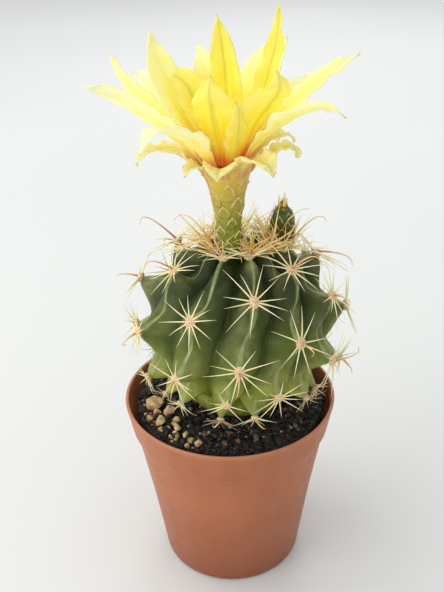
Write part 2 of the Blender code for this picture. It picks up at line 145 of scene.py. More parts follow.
class Finish:
    """A material with a Principled shader and short ways to add nodes in front of it."""

    def __init__(self, name, roughness):
        self.material = bpy.data.materials.new(name)
        self.material.use_nodes = True
        self.nodes = self.material.node_tree.nodes
        self.links = self.material.node_tree.links
        self.shader = self.nodes["Principled BSDF"]
        self.output = self.nodes["Material Output"]
        self.rough(roughness)
        self.place = self.nodes.new("ShaderNodeTexCoord").outputs["Object"]

    def plug(self, value, socket):
        """Links a socket, or sets a number or an (r, g, b) colour."""
        if isinstance(value, bpy.types.NodeSocket):
            self.links.new(value, socket)
        else:
            socket.default_value = (*value, 1.0) if isinstance(value, tuple) else value

    def set(self, name, value):
        self.plug(value, self.shader.inputs[name])

    def noise(self, size, detail=4.0, stretch=None):
        node = self.nodes.new("ShaderNodeTexNoise")
        node.inputs["Scale"].default_value = 1 / (size * MM)
        node.inputs["Detail"].default_value = detail
        place = self.place
        if stretch:
            mapping = self.nodes.new("ShaderNodeMapping")
            mapping.inputs["Scale"].default_value = stretch
            self.links.new(place, mapping.inputs["Vector"])
            place = mapping.outputs["Vector"]
        self.links.new(place, node.inputs["Vector"])
        return node.outputs["Fac"]

    def cells(self, size, output="Distance"):
        node = self.nodes.new("ShaderNodeTexVoronoi")
        node.inputs["Scale"].default_value = 1 / (size * MM)
        self.links.new(self.place, node.inputs["Vector"])
        return node.outputs[output]

    def attribute(self, name):
        node = self.nodes.new("ShaderNodeAttribute")
        node.attribute_name = name
        return node.outputs["Fac"]

    def ramp(self, value, *stops):
        """A colour ramp through (position, colour) stops. A single number stands for a grey."""
        node = self.nodes.new("ShaderNodeValToRGB")
        points = node.color_ramp.elements
        for index, (position, colour) in enumerate(stops):
            point = points[index] if index < 2 else points.new(position)
            point.position = position
            rgb = colour if isinstance(colour, tuple) else (colour,) * 3
            point.color = (*rgb, 1.0)
        self.plug(value, node.inputs["Fac"])
        return node.outputs["Color"]

    def mix(self, share, a, b):
        node = self.nodes.new("ShaderNodeMix")
        node.data_type = "RGBA"
        self.plug(share, node.inputs["Factor"])
        self.plug(a, node.inputs["A"])
        self.plug(b, node.inputs["B"])
        return node.outputs["Result"]

    def patches(self, under, over, size, detail, *stops):
        """Lays one colour over another in patches of noise. The stops give how much of it shows."""
        return self.mix(self.ramp(self.noise(size, detail), *stops), under, over)

    def maths(self, operation, a, b=0.0):
        node = self.nodes.new("ShaderNodeMath")
        node.operation = operation
        self.plug(a, node.inputs[0])
        self.plug(b, node.inputs[1])
        return node.outputs["Value"]

    def times(self, a, b):
        return self.maths("MULTIPLY", a, b)

    def colour(self, value):
        self.set("Base Color", value)

    def rough(self, value):
        self.set("Roughness", value)

    def waxy(self, weight, *radii):
        """Lets light scatter under the skin, as deep as the radii in mm for red, green and blue."""
        self.set("Subsurface Weight", weight)
        self.shader.inputs["Subsurface Radius"].default_value = [radius * MM for radius in radii]

    def bump(self, height, depth, strength=1.0, under=None):
        """Bump of a depth in millimetres. It can lie over another bump."""
        node = self.nodes.new("ShaderNodeBump")
        node.inputs["Distance"].default_value = depth * MM
        node.inputs["Strength"].default_value = strength
        self.plug(height, node.inputs["Height"])
        if under is not None:
            self.links.new(under, node.inputs["Normal"])
        self.links.new(node.outputs["Normal"], self.shader.inputs["Normal"])
        return node.outputs["Normal"]

    def lets_light_through(self, share, colour):
        """Mixes in a translucent shader, as a thin petal lets light through."""
        thin = self.nodes.new("ShaderNodeBsdfTranslucent")
        self.plug(colour, thin.inputs["Color"])
        blend = self.nodes.new("ShaderNodeMixShader")
        blend.inputs["Fac"].default_value = share
        self.links.new(self.shader.outputs["BSDF"], blend.inputs[1])
        self.links.new(thin.outputs["BSDF"], blend.inputs[2])
        self.links.new(blend.outputs["Shader"], self.output.inputs["Surface"])


def speckled(name, roughness, colour_noise, low, high, grain, depth):
    """A finish of two colours in noise with a grainy bump. Each noise is given as (size, detail)."""
    finish = Finish(name, roughness)
    finish.colour(finish.ramp(finish.noise(*colour_noise), low, high))
    finish.bump(finish.noise(*grain), depth)
    return finish.material


# %% [markdown]
# ## The camera, the floor and the light
# The viewer stands close and looks down on the plant, so the camera comes first: it decides which details
# matter. It looks 29 degrees down at the middle of the plant from 20 cm away and leans by a degree, as a
# hand-held camera does. The floor is a wide pale sheet that fills the view behind the plant, so that no
# horizon shows.

# %% Camera
CAMERA_AT = Vector((-1.49, -176.94, 177.22)) * MM
LOOK_DOWN = math.radians(28.76)
LEAN = math.radians(-1.34)
LENS_MM = 48.65

camera_data = bpy.data.cameras.new("camera")
camera_data.lens = LENS_MM
camera_data.sensor_width = 36
camera_data.clip_start = 0.01
camera = add_object("camera", camera_data)
turn_down = Matrix.Rotation(math.pi / 2 - LOOK_DOWN, 3, "X")
camera.rotation_euler = (turn_down @ Matrix.Rotation(LEAN, 3, "Z")).to_euler()
camera.location = CAMERA_AT
bpy.context.scene.camera = camera
bpy.context.scene.view_settings.view_transform = "Standard"
print("camera distance mm:", round((CAMERA_AT / MM - Vector((-2, 0, 80))).length))

# %% [markdown]
# The floor is matt and pale. Two greys that hardly differ, in very broad patches, keep it from looking like
# an empty page.

# %% Floor
FLOOR_HALF_M = 3.0
floor_bm = bmesh.new()
bmesh.ops.create_grid(floor_bm, x_segments=4, y_segments=4, size=FLOOR_HALF_M)
floor = add_object("floor", mesh_from(floor_bm, "floor"))
floor.data.materials.append(speckled("paper_floor", 0.85, (320, 1.0), (0.3, (0.71, 0.722, 0.71)),
                                     (0.7, (0.745, 0.755, 0.74)), (0.6, 2.0), 0.02))

# %% [markdown]
# The light is that of a bright room: a big soft window high at the left, a lower glow from the left front, a
# third light from behind so that the petals glow, and an even pale sky for everything else.

# %% Lights


def soft_light(name, place, aim, width, power, tint):
    data = bpy.data.lights.new(name, "AREA")
    data.shape = "DISK"
    data.size = width
    data.energy = power
    data.color = tint
    light = add_object(name, data)
    light.location = place
    light.rotation_euler = (Vector(aim) - Vector(place)).to_track_quat("-Z", "Y").to_euler()


soft_light("window", (-0.40, 0.12, 0.85), (0, 0, 0.07), 0.55, 2.0, (1.0, 0.99, 0.96))
soft_light("side_glow", (-0.65, -0.35, 0.30), (0, 0, 0.09), 0.55, 2.2, (1.0, 0.985, 0.95))
soft_light("back_glow", (0.15, 0.80, 0.60), (0, 0, 0.11), 0.5, 1.6, (0.98, 0.99, 1.0))

world = bpy.data.worlds.new("pale_room")
world.use_nodes = True
sky = world.node_tree.nodes["Background"]
sky.inputs["Color"].default_value = (0.97, 0.985, 0.99, 1.0)
sky.inputs["Strength"].default_value = 0.82
bpy.context.scene.world = world

# %% [markdown]
# ## The pot
# A nursery pot is one thin moulding of terracotta-coloured plastic: a wider band under a rounded rim, a
# straight tapered wall, a rounded foot, and holes in the floor. The wall could be a Screw modifier, but a
# spun outline in bmesh gives the same shape at once, with enough steps that no flat facet shows on the rim.

# %% Pot sizes, read from the frame
pot_low, pot_high = box_mm("pot")
RIM_R = (pot_high.x - pot_low.x) / 2
POT_H = pot_high.z
BAND_H = 8.2
BAND_R = RIM_R - 1.4
WALL_SHAPE = [(0.0, 19.2), (22.0, 22.3), (43.0, 25.8)]
WALL = 0.9
FLOOR_THICK = 1.4
FOOT_ROUND = 1.2
print("pot rim radius and height mm:", round(RIM_R, 1), round(POT_H, 1))


def wall_radius(z):
    heights, radii = zip(*WALL_SHAPE)
    return float(np.interp(z, heights, radii))


def arc(centre, radius, start, end, count):
    angles = [math.radians(lerp(start, end, i / (count - 1))) for i in range(count)]
    return [(centre[0] + radius * math.cos(a), centre[1] + radius * math.sin(a)) for a in angles]


def spun(profile, steps):
    """A turned solid from (radius, height) points that start and end on the axis."""
    bm = bmesh.new()
    verts = [bm.verts.new((r, 0.0, z)) for r, z in profile]
    edges = [bm.edges.new(pair) for pair in zip(verts, verts[1:])]
    bmesh.ops.spin(bm, geom=verts + edges, axis=(0, 0, 1), cent=(0, 0, 0), angle=math.tau, steps=steps,
                   use_merge=True)
    bmesh.ops.remove_doubles(bm, verts=bm.verts, dist=0.0005)
    face_outwards(bm)
    return bm


# %% [markdown]
# The plastic is satin, with a very fine grain from the mould, faint flow marks that run down the wall and a
# lighter band at the rim. The wall is painted darker towards the foot, as painted shade, and the foot carries
# a little soil dust. Dust and grain are what keep a plain pot from looking like computer plastic.

# %% Terracotta plastic


def terracotta_plastic():
    finish = Finish("terracotta_plastic", 0.42)
    streaks = finish.noise(5, 3.0, stretch=(1.0, 1.0, 0.12))
    clay = finish.ramp(streaks, (0.3, (0.385, 0.118, 0.047)), (0.7, (0.43, 0.135, 0.056)))
    clay = finish.patches(clay, (0.49, 0.170, 0.078), 16, 2.0, (0.35, 0.0), (0.75, 0.4))
    clay = finish.patches(clay, (0.16, 0.07, 0.04), 0.9, 5.0, (0.68, 0.0), (0.76, 0.4))
    height = finish.nodes.new("ShaderNodeSeparateXYZ")
    finish.links.new(finish.place, height.inputs["Vector"])
    up_pot = finish.times(height.outputs["Z"], 1 / (POT_H * MM))
    clay = finish.mix(finish.ramp(up_pot, (0.97, 0.0), (1.0, 0.5)), clay, (0.56, 0.25, 0.14))
    # Painted shade: the lower wall is darkened towards the foot.
    clay = finish.mix(finish.ramp(up_pot, (0.0, 0.62), (0.62, 0.0)), clay, (0.20, 0.055, 0.022))
    dust_height = finish.ramp(up_pot, (0.0, 0.5), (0.10, 0.0))
    dust = finish.times(dust_height, finish.ramp(finish.noise(1.8, 5.0), (0.45, 0.0), (0.65, 1.0)))
    clay = finish.mix(dust, clay, (0.20, 0.10, 0.06))
    finish.colour(clay)
    finish.rough(finish.ramp(finish.noise(3, 4.0), (0.3, 0.36), (0.7, 0.50)))
    finish.set("Specular IOR Level", 0.35)
    grain = finish.bump(finish.noise(0.35, 2.0), 0.02, 0.5)
    finish.bump(streaks, 0.05, 0.35, under=grain)
    finish.waxy(0.08, 2.0, 0.8, 0.4)
    return finish.material


# %% Pot outline, spun round
DRAIN_HOLES = 5
DRAIN_R = 2.4
DRAIN_CIRCLE_R = 11.0
DRAIN_TURN = 18
FOOT_RING = 3.5
RECESS = 0.35
POT_STEPS = 160

band_z = POT_H - BAND_H
lip = WALL / 2
foot_r = wall_radius(FOOT_ROUND)
pot_outline = [(0.0, FLOOR_THICK), (8.0, FLOOR_THICK), (foot_r - WALL - 0.6, FLOOR_THICK)]
pot_outline += [(foot_r - WALL + 0.1, FLOOR_THICK + 0.7)]
pot_outline += [(wall_radius(z) - WALL, z) for z in (12, 22, 34, band_z)]
pot_outline += [(BAND_R - WALL, band_z + 1.2), (RIM_R - WALL - 0.3, POT_H - 2.0)]
pot_outline += arc((RIM_R - lip, POT_H - lip), lip, 180, 0, 9)
pot_outline += [(RIM_R - 0.15, POT_H - 1.2), (RIM_R - 0.4, POT_H - 2.4)]
pot_outline += arc((BAND_R - 0.3, band_z + 0.3), 0.3, 0, -80, 4) + [(wall_radius(band_z) + 0.1, band_z - 0.5)]
pot_outline += [(wall_radius(z), z) for z in (41, 34, 28, 22, 16, 10, 4)]
pot_outline += arc((foot_r - FOOT_ROUND, FOOT_ROUND), FOOT_ROUND, 0, -90, 7)
pot_outline += [(foot_r - FOOT_RING, 0.0), (foot_r - FOOT_RING - 0.6, RECESS), (8.0, RECESS), (0.0, RECESS)]
pot_bm = spun(pot_outline, POT_STEPS)
for vert in pot_bm.verts:
    around_pot = Vector((vert.co.x, vert.co.y, vert.co.z * 0.6))
    wobble = 0.12 * rough_noise(around_pot, 22) * smooth_step(vert.co.z / POT_H)
    vert.co.xy *= 1 + wobble / max(vert.co.xy.length, 1.0)
pot = piece_from(pot_bm, "nursery_pot", [terracotta_plastic()], ["pot"])

# %% [markdown]
# The drain holes are cut with a Boolean. Five pegs are joined into one cutter, the pot takes the cut, and the
# result is kept as its mesh, so that nothing live is left on the piece.

# %% Cut the drain holes


def keep_result(piece, name):
    """Applies the modifier of that name."""
    evaluated = piece.evaluated_get(bpy.context.evaluated_depsgraph_get())
    result = bpy.data.meshes.new_from_object(evaluated)
    piece.modifiers.remove(piece.modifiers[name])
    piece.data = result


peg_bm = bmesh.new()
for hole in range(DRAIN_HOLES):
    spot = around(360 * hole / DRAIN_HOLES + DRAIN_TURN, DRAIN_CIRCLE_R, 1.0)
    bmesh.ops.create_cone(peg_bm, cap_ends=True, segments=32, radius1=DRAIN_R, radius2=DRAIN_R, depth=4.0,
                          matrix=Matrix.Translation(spot))
pegs = add_object("pegs", mesh_from(peg_bm, "pegs"))
pegs.data.transform(Matrix.Scale(MM, 4))
cut = pot.modifiers.new("drain", "BOOLEAN")
cut.operation = "DIFFERENCE"
cut.object = pegs
keep_result(pot, "drain")
bpy.data.objects.remove(pegs)
print("pot faces with holes:", len(pot.data.polygons))

# %% [markdown]
# ## The soil
# Potting mix is dark and open: composted bark and peat in crumbs of every size. A bumpy disc gives the
# general surface. What the eye reads as soil is the crumbs, so thousands of small lumps lie over it.

# %% Soil sizes, and the surface as a rule
SOIL_Z = 48.8
SOIL_EDGE_R = wall_radius(band_z) - WALL - 0.05
STEM_X, STEM_Y = 2.55, 0.5


def soil_height(x, y):
    """Height of the soil's surface: gentle hills, small lumps, and a rise towards the plant."""
    spot = Vector((x, y, 0))
    hills = 0.5 * rough_noise(spot, 9) + 0.45 * rough_noise(spot + Vector((40, 0, 0)), 3.2)
    grain = 0.22 * rough_noise(spot, 1.1)
    rise = 0.7 * smooth_step(1 - spot.length / 22)
    return SOIL_Z + rise + hills + grain


def potting_mix():
    finish = Finish("potting_mix", 0.95)
    fine = finish.noise(1.4, 8.0)
    dark = finish.ramp(fine, (0.3, (0.005, 0.0042, 0.0038)), (0.62, (0.014, 0.0105, 0.0085)),
                       (0.8, (0.085, 0.058, 0.038)))
    lumps = finish.ramp(finish.cells(1.7, "Color"), (0.0, 0.0), (1.0, 0.55))
    finish.colour(finish.mix(lumps, dark, (0.024, 0.0145, 0.010)))
    finish.rough(finish.ramp(finish.noise(2.5, 3.0), (0.35, 0.48), (0.65, 0.92)))
    coarse = finish.bump(finish.cells(1.0), 0.5, 0.7)
    finish.bump(fine, 0.3, 0.8, under=coarse)
    return finish.material


soil_dark = potting_mix()
SOIL_RINGS, SOIL_STEPS = 60, 200
soil_outline = [(0.0, SOIL_Z)] + [(SOIL_EDGE_R * i / SOIL_RINGS, SOIL_Z) for i in range(1, SOIL_RINGS + 1)]
soil_outline += [(SOIL_EDGE_R - 0.3, SOIL_Z - 5), (wall_radius(22) - WALL - 0.4, 22)]
soil_outline += [(wall_radius(0) - WALL - 1.6, FLOOR_THICK + 1), (0.0, FLOOR_THICK + 1)]
soil_bm = spun(soil_outline, SOIL_STEPS)
for vert in soil_bm.verts:
    if vert.co.z > SOIL_Z - 0.1:
        vert.co.z = soil_height(vert.co.x, vert.co.y)
piece_from(soil_bm, "soil_bed", [soil_dark], ["soil"])

# %% [markdown]
# A crumb is a rough ball whose corners are pushed in and out at random and which is squashed. The coarser
# ones also get broken faces. About ten shapes of each kind are enough: scattered with random turns and sizes,
# nobody sees that they repeat. They are copied into one big mesh, as thousands of objects would be slow.

# %% Crumb shapes and how to scatter them


def chip(bm, rng, cuts, depth):
    """Flattens a ball of radius 1 against planes at random, which leaves it with broken faces and edges."""
    for _ in range(cuts):
        out = Vector([rng.gauss(0, 1) for _ in range(3)]).normalized()
        distance = rng.uniform(1 - depth, 0.9)
        for vert in bm.verts:
            beyond = vert.co.dot(out) - distance
            if beyond > 0:
                vert.co -= out * beyond


def crumb_shapes(seed, count, detail, roughness, squash, cuts=0):
    rng = random.Random(seed)
    shapes = []
    for _ in range(count):
        bm = bmesh.new()
        bmesh.ops.create_icosphere(bm, subdivisions=detail, radius=1.0)
        for vert in bm.verts:
            vert.co *= rng.uniform(1 - roughness, 1 + roughness)
        chip(bm, rng, cuts, 0.4)
        bmesh.ops.scale(bm, verts=bm.verts, vec=(1.0, rng.uniform(0.6, 1.0), rng.uniform(*squash)))
        shapes.append(mesh_from(bm, "crumb"))
    return shapes


def lay(total, shape, place):
    """Adds a copy of a shape to a bigger mesh, turned and placed by a matrix."""
    copy = shape.copy()
    copy.transform(place)
    total.from_mesh(copy)
    bpy.data.meshes.remove(copy)


def random_turn(rng):
    turn = Quaternion([rng.gauss(0, 1) for _ in range(4)])
    return turn.normalized().to_matrix().to_4x4()


def scatter(seed, shapes, count, sizes, inner, outer, azimuths=(0, 360), sink=0.35):
    """Crumbs on the soil between two radii. Small sizes are the commonest."""
    rng = random.Random(seed)
    total = bmesh.new()
    for _ in range(count):
        azimuth = rng.uniform(*azimuths)
        distance = math.sqrt(rng.uniform(inner**2, outer**2))
        size = lerp(sizes[0], sizes[1], rng.random() ** 2.5)
        spot = around(azimuth, distance)
        spot.z = soil_height(spot.x, spot.y) + size * (0.5 - sink)
        lay(total, rng.choice(shapes), Matrix.Translation(spot) @ random_turn(rng) @ Matrix.Scale(size, 4))
    return total


# %% Dark crumbs, bark, and pale grains
SOIL_IN = 8.0
SOIL_OUT = SOIL_EDGE_R - 0.2
fine_shapes = crumb_shapes(1, 8, 1, 0.25, (0.5, 1.0))
lump_shapes = crumb_shapes(2, 12, 1, 0.18, (0.5, 0.9), 3)
sharp_shapes = crumb_shapes(4, 10, 2, 0.03, (0.55, 0.9), 9)
chip_shapes = crumb_shapes(3, 6, 1, 0.2, (0.2, 0.4))


def bark():
    finish = Finish("bark", 0.85)
    grain = finish.noise(0.8, 5.0, stretch=(1.0, 1.0, 3.0))
    finish.colour(finish.ramp(grain, (0.3, (0.055, 0.028, 0.014)), (0.7, (0.27, 0.15, 0.08))))
    finish.bump(grain, 0.15)
    return finish.material


pale_mineral = speckled("pale_mineral", 0.9, (1.2, 4.0), (0.35, (0.16, 0.13, 0.10)),
                        (0.65, (0.56, 0.48, 0.38)), (0.4, 4.0), 0.12)
for name, seed, shapes, count, sizes, outer, sink, finish, slot in [
    ("soil_fines", 11, fine_shapes, 3200, (0.22, 1.0), SOIL_OUT, 0.35, soil_dark, "potting_mix"),
    ("soil_lumps", 12, lump_shapes, 420, (0.6, 1.6), SOIL_OUT - 1, 0.35, soil_dark, "potting_mix"),
    ("bark_chips", 13, chip_shapes, 200, (0.5, 1.9), SOIL_OUT - 1, 0.35, bark(), "potting_mix"),
    ("perlite", 14, lump_shapes, 190, (0.28, 0.95), SOIL_OUT - 1, 0.2, pale_mineral, "grit"),
]:
    crumbs = scatter(seed, shapes, count, sizes, SOIL_IN, outer, sink=sink)
    piece_from(crumbs, name, [finish])

# %% [markdown]
# A cluster of tan stones lies at the left front. Each is a ball that is flattened against a dozen planes at
# random, which gives it the broken faces and blunt edges of crushed grit.

# %% Grit


def tan_stone():
    finish = Finish("tan_stone", 0.8)
    veins = finish.noise(1.6, 6.0)
    stone = finish.ramp(veins, (0.28, (0.25, 0.14, 0.055)), (0.5, (0.60, 0.39, 0.18)),
                        (0.72, (0.88, 0.71, 0.44)))
    finish.colour(finish.patches(stone, (0.12, 0.08, 0.05), 0.35, 3.0, (0.6, 0.0), (0.75, 0.6)))
    coarse = finish.bump(veins, 0.3, 0.6)
    finish.bump(finish.noise(0.25, 3.0), 0.08, 0.7, under=coarse)
    return finish.material


stone_finish = tan_stone()
STONES = 5
STONE_CUTS = 13


def make_stone(index):
    rng = random.Random(60 + index)
    low, high = box_mm(f"stone_{index}")
    bm = bmesh.new()
    bmesh.ops.create_icosphere(bm, subdivisions=5, radius=1.0)
    chip(bm, rng, STONE_CUTS, 0.42)
    for vert in bm.verts:
        vert.co *= 1 + 0.05 * rough_noise(vert.co + Vector((index * 9, 0, 0)), 0.35)
    centre, half = (low + high) / 2, (high - low) / 2
    turn = Matrix.Rotation(rng.uniform(0, math.pi), 4, "Z")
    bm.transform(turn)
    bmesh.ops.scale(bm, verts=bm.verts, vec=half * 1.02)
    bmesh.ops.translate(bm, verts=bm.verts, vec=centre - Vector((0, 0, 0.5)))
    piece_from(bm, f"grit_{index}", [stone_finish], [f"stone_{index}"])


for stone_index in range(1, STONES + 1):
    make_stone(stone_index)
grit_bm = scatter(15, sharp_shapes, 34, (0.4, 1.5), 17, SOIL_OUT - 1, azimuths=(-82, -18), sink=0.15)
piece_from(grit_bm, "small_grit", [stone_finish])

# %% [markdown]
# ## The stem
# The stem is one ribbed ball. Each rib is a row of humps: a hump is highest at its areole, the pad that the
# spines grow from, slopes away below it, and ends in a notch just above the next areole. The ribs also wander
# sideways on their way down. A sphere whose points are moved by one rule gives all of this. The rule takes a
# rib number and a latitude, so spines can be placed with it too.

# %% The stem's rule
STEM_MID_Z = 71.5
STEM_R = 27.0
STEM_UP = 23.0
STEM_DOWN = 22.5
STEM_SQUARE = 0.83
VALLEY = 6.0
NOTCH = 4.7
NECK_LAT = -62.0
NECK = [(12.7, 51.6), (10.2, 49.2), (9.0, 46.5), (8.0, 43.5), (5.4, 41.4), (0.0, 40.8)]
RIBS = [
    [(20, 78), (9, 45), (-1, 6), (-8, -16), (-14, -40)],
    [(58, 80), (50, 58), (31, 16), (19, -13), (8, -34)],
    [(87, 68), (66, 30), (54, -3), (40, -26)],
    [(116, 74), (102, 46), (88, 10), (78, -18), (68, -40)],
    [(140, 62), (132, 26), (121, -8), (110, -32)],
    [(172, 78), (164, 46), (155, 10), (146, -18), (138, -40)],
    [(202, 62), (194, 26), (184, -8), (176, -32)],
    [(236, 76), (229, 46), (222, 10), (217, -18), (212, -40)],
    [(268, 66), (262, 28), (258, -6), (252, -30)],
    [(302, 80), (298, 55), (296, 10), (300, -17), (296, -40)],
    [(335, 76), (332, 31), (326, -3), (323, -27)],
]
print("ribs:", len(RIBS), "areoles:", sum(len(rib) for rib in RIBS))


def along(points, t):
    """The point a share t of the way through a list of (radius, height) points."""
    x = max(0.0, min(1.0, t)) * (len(points) - 1)
    i = min(int(x), len(points) - 2)
    return tuple(lerp(a, b, x - i) for a, b in zip(points[i], points[i + 1]))


def profile_point(lat):
    """(radius, height) of the plain stem, without ribs, at a latitude in degrees."""
    if lat < NECK_LAT:
        return along(NECK, (NECK_LAT - lat) / (90 + NECK_LAT))
    c, s = max(math.cos(math.radians(lat)), 0.0), math.sin(math.radians(lat))
    if lat >= 0:
        crown_dip = 1.6 * smooth_step((lat - 70) / 20)
        return STEM_R * c**STEM_SQUARE, STEM_MID_Z + STEM_UP * s**STEM_SQUARE - crown_dip
    return STEM_R * c, STEM_MID_Z + STEM_DOWN * s


def profile_normal(lat):
    """Outward normal of the plain stem in the (radius, height) plane."""
    (r0, z0), (r1, z1) = profile_point(lat - 1.5), profile_point(min(lat + 1.5, 90))
    length = math.hypot(r1 - r0, z1 - z0)
    return (z1 - z0) / length, (r0 - r1) / length


def rib_at(rib, lat):
    """(azimuth of the crest, notch, hump) at a latitude. Notch is 1 where the rib is lowest, and hump is 1 at
    an areole."""
    if lat >= rib[0][1]:
        return rib[0][0], 0.0, 0.6
    for (az_a, lat_a), (az_b, lat_b) in zip(rib, rib[1:]):
        if lat >= lat_b:
            w = (lat_a - lat) / (lat_a - lat_b)
            notch = math.sin(math.pi * w**1.5) ** 1.2
            return lerp(az_a, az_b, smooth_step(w**1.15)), notch, 1 - notch
    below = (rib[-1][1] - lat) / 10
    return rib[-1][0], smooth_step(below), 1 - smooth_step(below)


def stem_point(column, lat):
    """(place, crest share, hump) on the ribbed skin. Column counts ribs: 2.5 is the furrow between ribs 2
    and 3."""
    k = int(math.floor(column)) % len(RIBS)
    u = column - math.floor(column)
    az_a, notch_a, hump_a = rib_at(RIBS[k], lat)
    az_b, notch_b, hump_b = rib_at(RIBS[(k + 1) % len(RIBS)], lat)
    if k == len(RIBS) - 1:
        az_b += 360
    notch, hump = (notch_a, hump_a) if u < 0.5 else (notch_b, hump_b)
    flank = 2 * min(u, 1 - u)
    crest = 1 - flank ** (0.95 + 0.45 * hump)
    r, z = profile_point(lat)
    nr, nz = profile_normal(lat)
    ribbed = smooth_step((lat - NECK_LAT) / 14) * smooth_step((90 - lat) / 26)
    fade = 0.25 + 0.75 * crest
    depth = ribbed * ((1 - crest) * VALLEY + fade * crest * notch * NOTCH)
    azimuth = lerp(az_a, az_b, u)
    spot = around(azimuth, r - nr * depth, z - nz * depth) + Vector((STEM_X, STEM_Y, 0))
    return spot, crest, hump


# %% [markdown]
# The skin is waxy and dark green near the crown. In the lower furrows it turns yellow-green, which is partly
# the older skin's own colour and partly painted light: broad bright patches there stand for light glowing
# through the skin. Where it meets the soil it is painted nearly black, as painted shade under the ball. Along
# each crest runs a thin pale line, and a grey bloom lies in patches over the humps. Most of this follows the
# shape, so the mesh carries three numbers at each point for the finish to read: how near the crest, how high
# on the ball, and how near an areole.

# %% Waxy green skin


def green_skin():
    finish = Finish("green_skin", 0.5)
    crest, height, hump = (finish.attribute(name) for name in ("crest", "height", "hump"))
    mottle = finish.noise(2.2, 6.0)
    broad = finish.noise(8, 3.0)
    # The yellow-green low stops are partly the skin's own colour and partly painted light coming through the
    # lower skin.
    furrow = finish.ramp(height, (0.05, (0.20, 0.24, 0.026)), (0.26, (0.30, 0.35, 0.024)),
                         (0.48, (0.085, 0.12, 0.014)), (0.8, (0.015, 0.028, 0.003)))
    flank = finish.ramp(height, (0.05, (0.17, 0.20, 0.048)), (0.33, (0.30, 0.33, 0.048)),
                        (0.60, (0.105, 0.135, 0.014)), (0.9, (0.020, 0.034, 0.004)))
    skin = finish.mix(finish.ramp(crest, (0.10, 0.0), (0.60, 1.0)), furrow, flank)
    # Painted light: broad bright yellow-green patches low on the ball stand for light glowing through the
    # skin.
    painted_glow = finish.times(finish.ramp(finish.noise(15, 1.0), (0.50, 0.0), (0.62, 0.8)),
                        finish.ramp(height, (0.15, 1.0), (0.5, 0.0)))
    skin = finish.mix(painted_glow, skin, (0.50, 0.53, 0.045))
    bloom = finish.times(finish.ramp(broad, (0.45, 0.0), (0.7, 0.5)),
                         finish.ramp(crest, (0.25, 0.1), (0.8, 1.0)))
    skin = finish.mix(bloom, skin, (0.38, 0.40, 0.17))
    skin = finish.mix(finish.ramp(mottle, (0.3, 0.4), (0.62, 0.0)), skin, (0.030, 0.048, 0.010))
    pores = finish.ramp(finish.cells(0.55), (0.0, 0.45), (0.16, 0.0))
    skin = finish.mix(pores, skin, (0.20, 0.27, 0.13))
    line = finish.times(finish.ramp(crest, (0.91, 0.0), (0.97, 0.8)),
                        finish.ramp(finish.noise(3, 4.0), (0.3, 0.35), (0.6, 1.0)))
    skin = finish.mix(line, skin, (0.36, 0.40, 0.17))
    # Painted shade: the skin is darkened to nearly black at the very foot, under the ball's overhang.
    skin = finish.mix(finish.ramp(height, (0.06, 0.92), (0.17, 0.0)), skin, (0.020, 0.026, 0.006))
    finish.colour(skin)
    finish.rough(finish.ramp(broad, (0.3, 0.45), (0.7, 0.62)))
    finish.set("Specular IOR Level", 0.28)
    coarse = finish.bump(mottle, 0.3, 0.6)
    finish.bump(finish.noise(0.35, 3.0), 0.07, 0.6, under=coarse)
    finish.waxy(0.10, 1.0, 1.6, 0.5)
    return finish.material


# %% Stem mesh
COLUMNS_PER_RIB = 28
STEM_ROWS = 190


def make_stem():
    bm = bmesh.new()
    bmesh.ops.create_uvsphere(bm, u_segments=len(RIBS) * COLUMNS_PER_RIB, v_segments=STEM_ROWS, radius=1.0)
    layers = [bm.verts.layers.float.new(name) for name in ("crest", "height", "hump")]
    for vert in bm.verts:
        lat = math.degrees(math.asin(max(-1.0, min(1.0, vert.co.z))))
        turn = math.atan2(vert.co.y, vert.co.x) / math.tau * len(RIBS)
        column = round(turn * COLUMNS_PER_RIB) / COLUMNS_PER_RIB % len(RIBS)
        if abs(lat) > 89.95:
            pole_z = profile_point(math.copysign(90, lat))[1]
            spot, crest, hump = Vector((STEM_X, STEM_Y, pole_z)), 0.5, 0.5
        else:
            spot, crest, hump = stem_point(column, lat)
        out = (spot - Vector((STEM_X, STEM_Y, STEM_MID_Z))).normalized()
        dents = 0.30 * rough_noise(spot, 5.5) + 0.10 * rough_noise(spot, 1.8)
        spot += out * (dents + 0.6 * (crest * hump) ** 6)
        vert.co = spot
        values = (crest, (spot.z - 48) / 46, hump)
        for layer, value in zip(layers, values):
            vert[layer] = max(0.0, min(1.0, value))
    face_outwards(bm)
    piece_from(bm, "ribbed_stem", [green_skin()], ["stem"])


make_stem()

# %% [markdown]
# ## The areoles
# A cactus spine is a slim cone that is never quite straight. One unit cone, cut into short rings, serves for
# every spine: its rings are laid along a curve and shrunk towards the tip. The cone carries a number called
# along, from 0 at its foot to 1 at its tip, so that the finish can darken the foot.

# %% A unit cone, and how to bend it


def unit_cone(sides, rings, slot_index):
    bm = bmesh.new()
    bmesh.ops.create_cone(bm, cap_ends=True, segments=sides, radius1=1.0, radius2=1.0, depth=1.0)
    bmesh.ops.translate(bm, verts=bm.verts, vec=(0, 0, 0.5))
    upright = [edge for edge in bm.edges if abs(edge.verts[0].co.z - edge.verts[1].co.z) > 0.5]
    bmesh.ops.subdivide_edges(bm, edges=upright, cuts=rings - 1)
    layer = bm.verts.layers.float.new("along")
    for vert in bm.verts:
        vert[layer] = vert.co.z
    for face in bm.faces:
        face.material_index = slot_index
    return mesh_from(bm, "unit_cone")


def coordinates(mesh):
    values = np.empty(len(mesh.vertices) * 3, np.float32)
    mesh.vertices.foreach_get("co", values)
    return values.reshape(-1, 3)


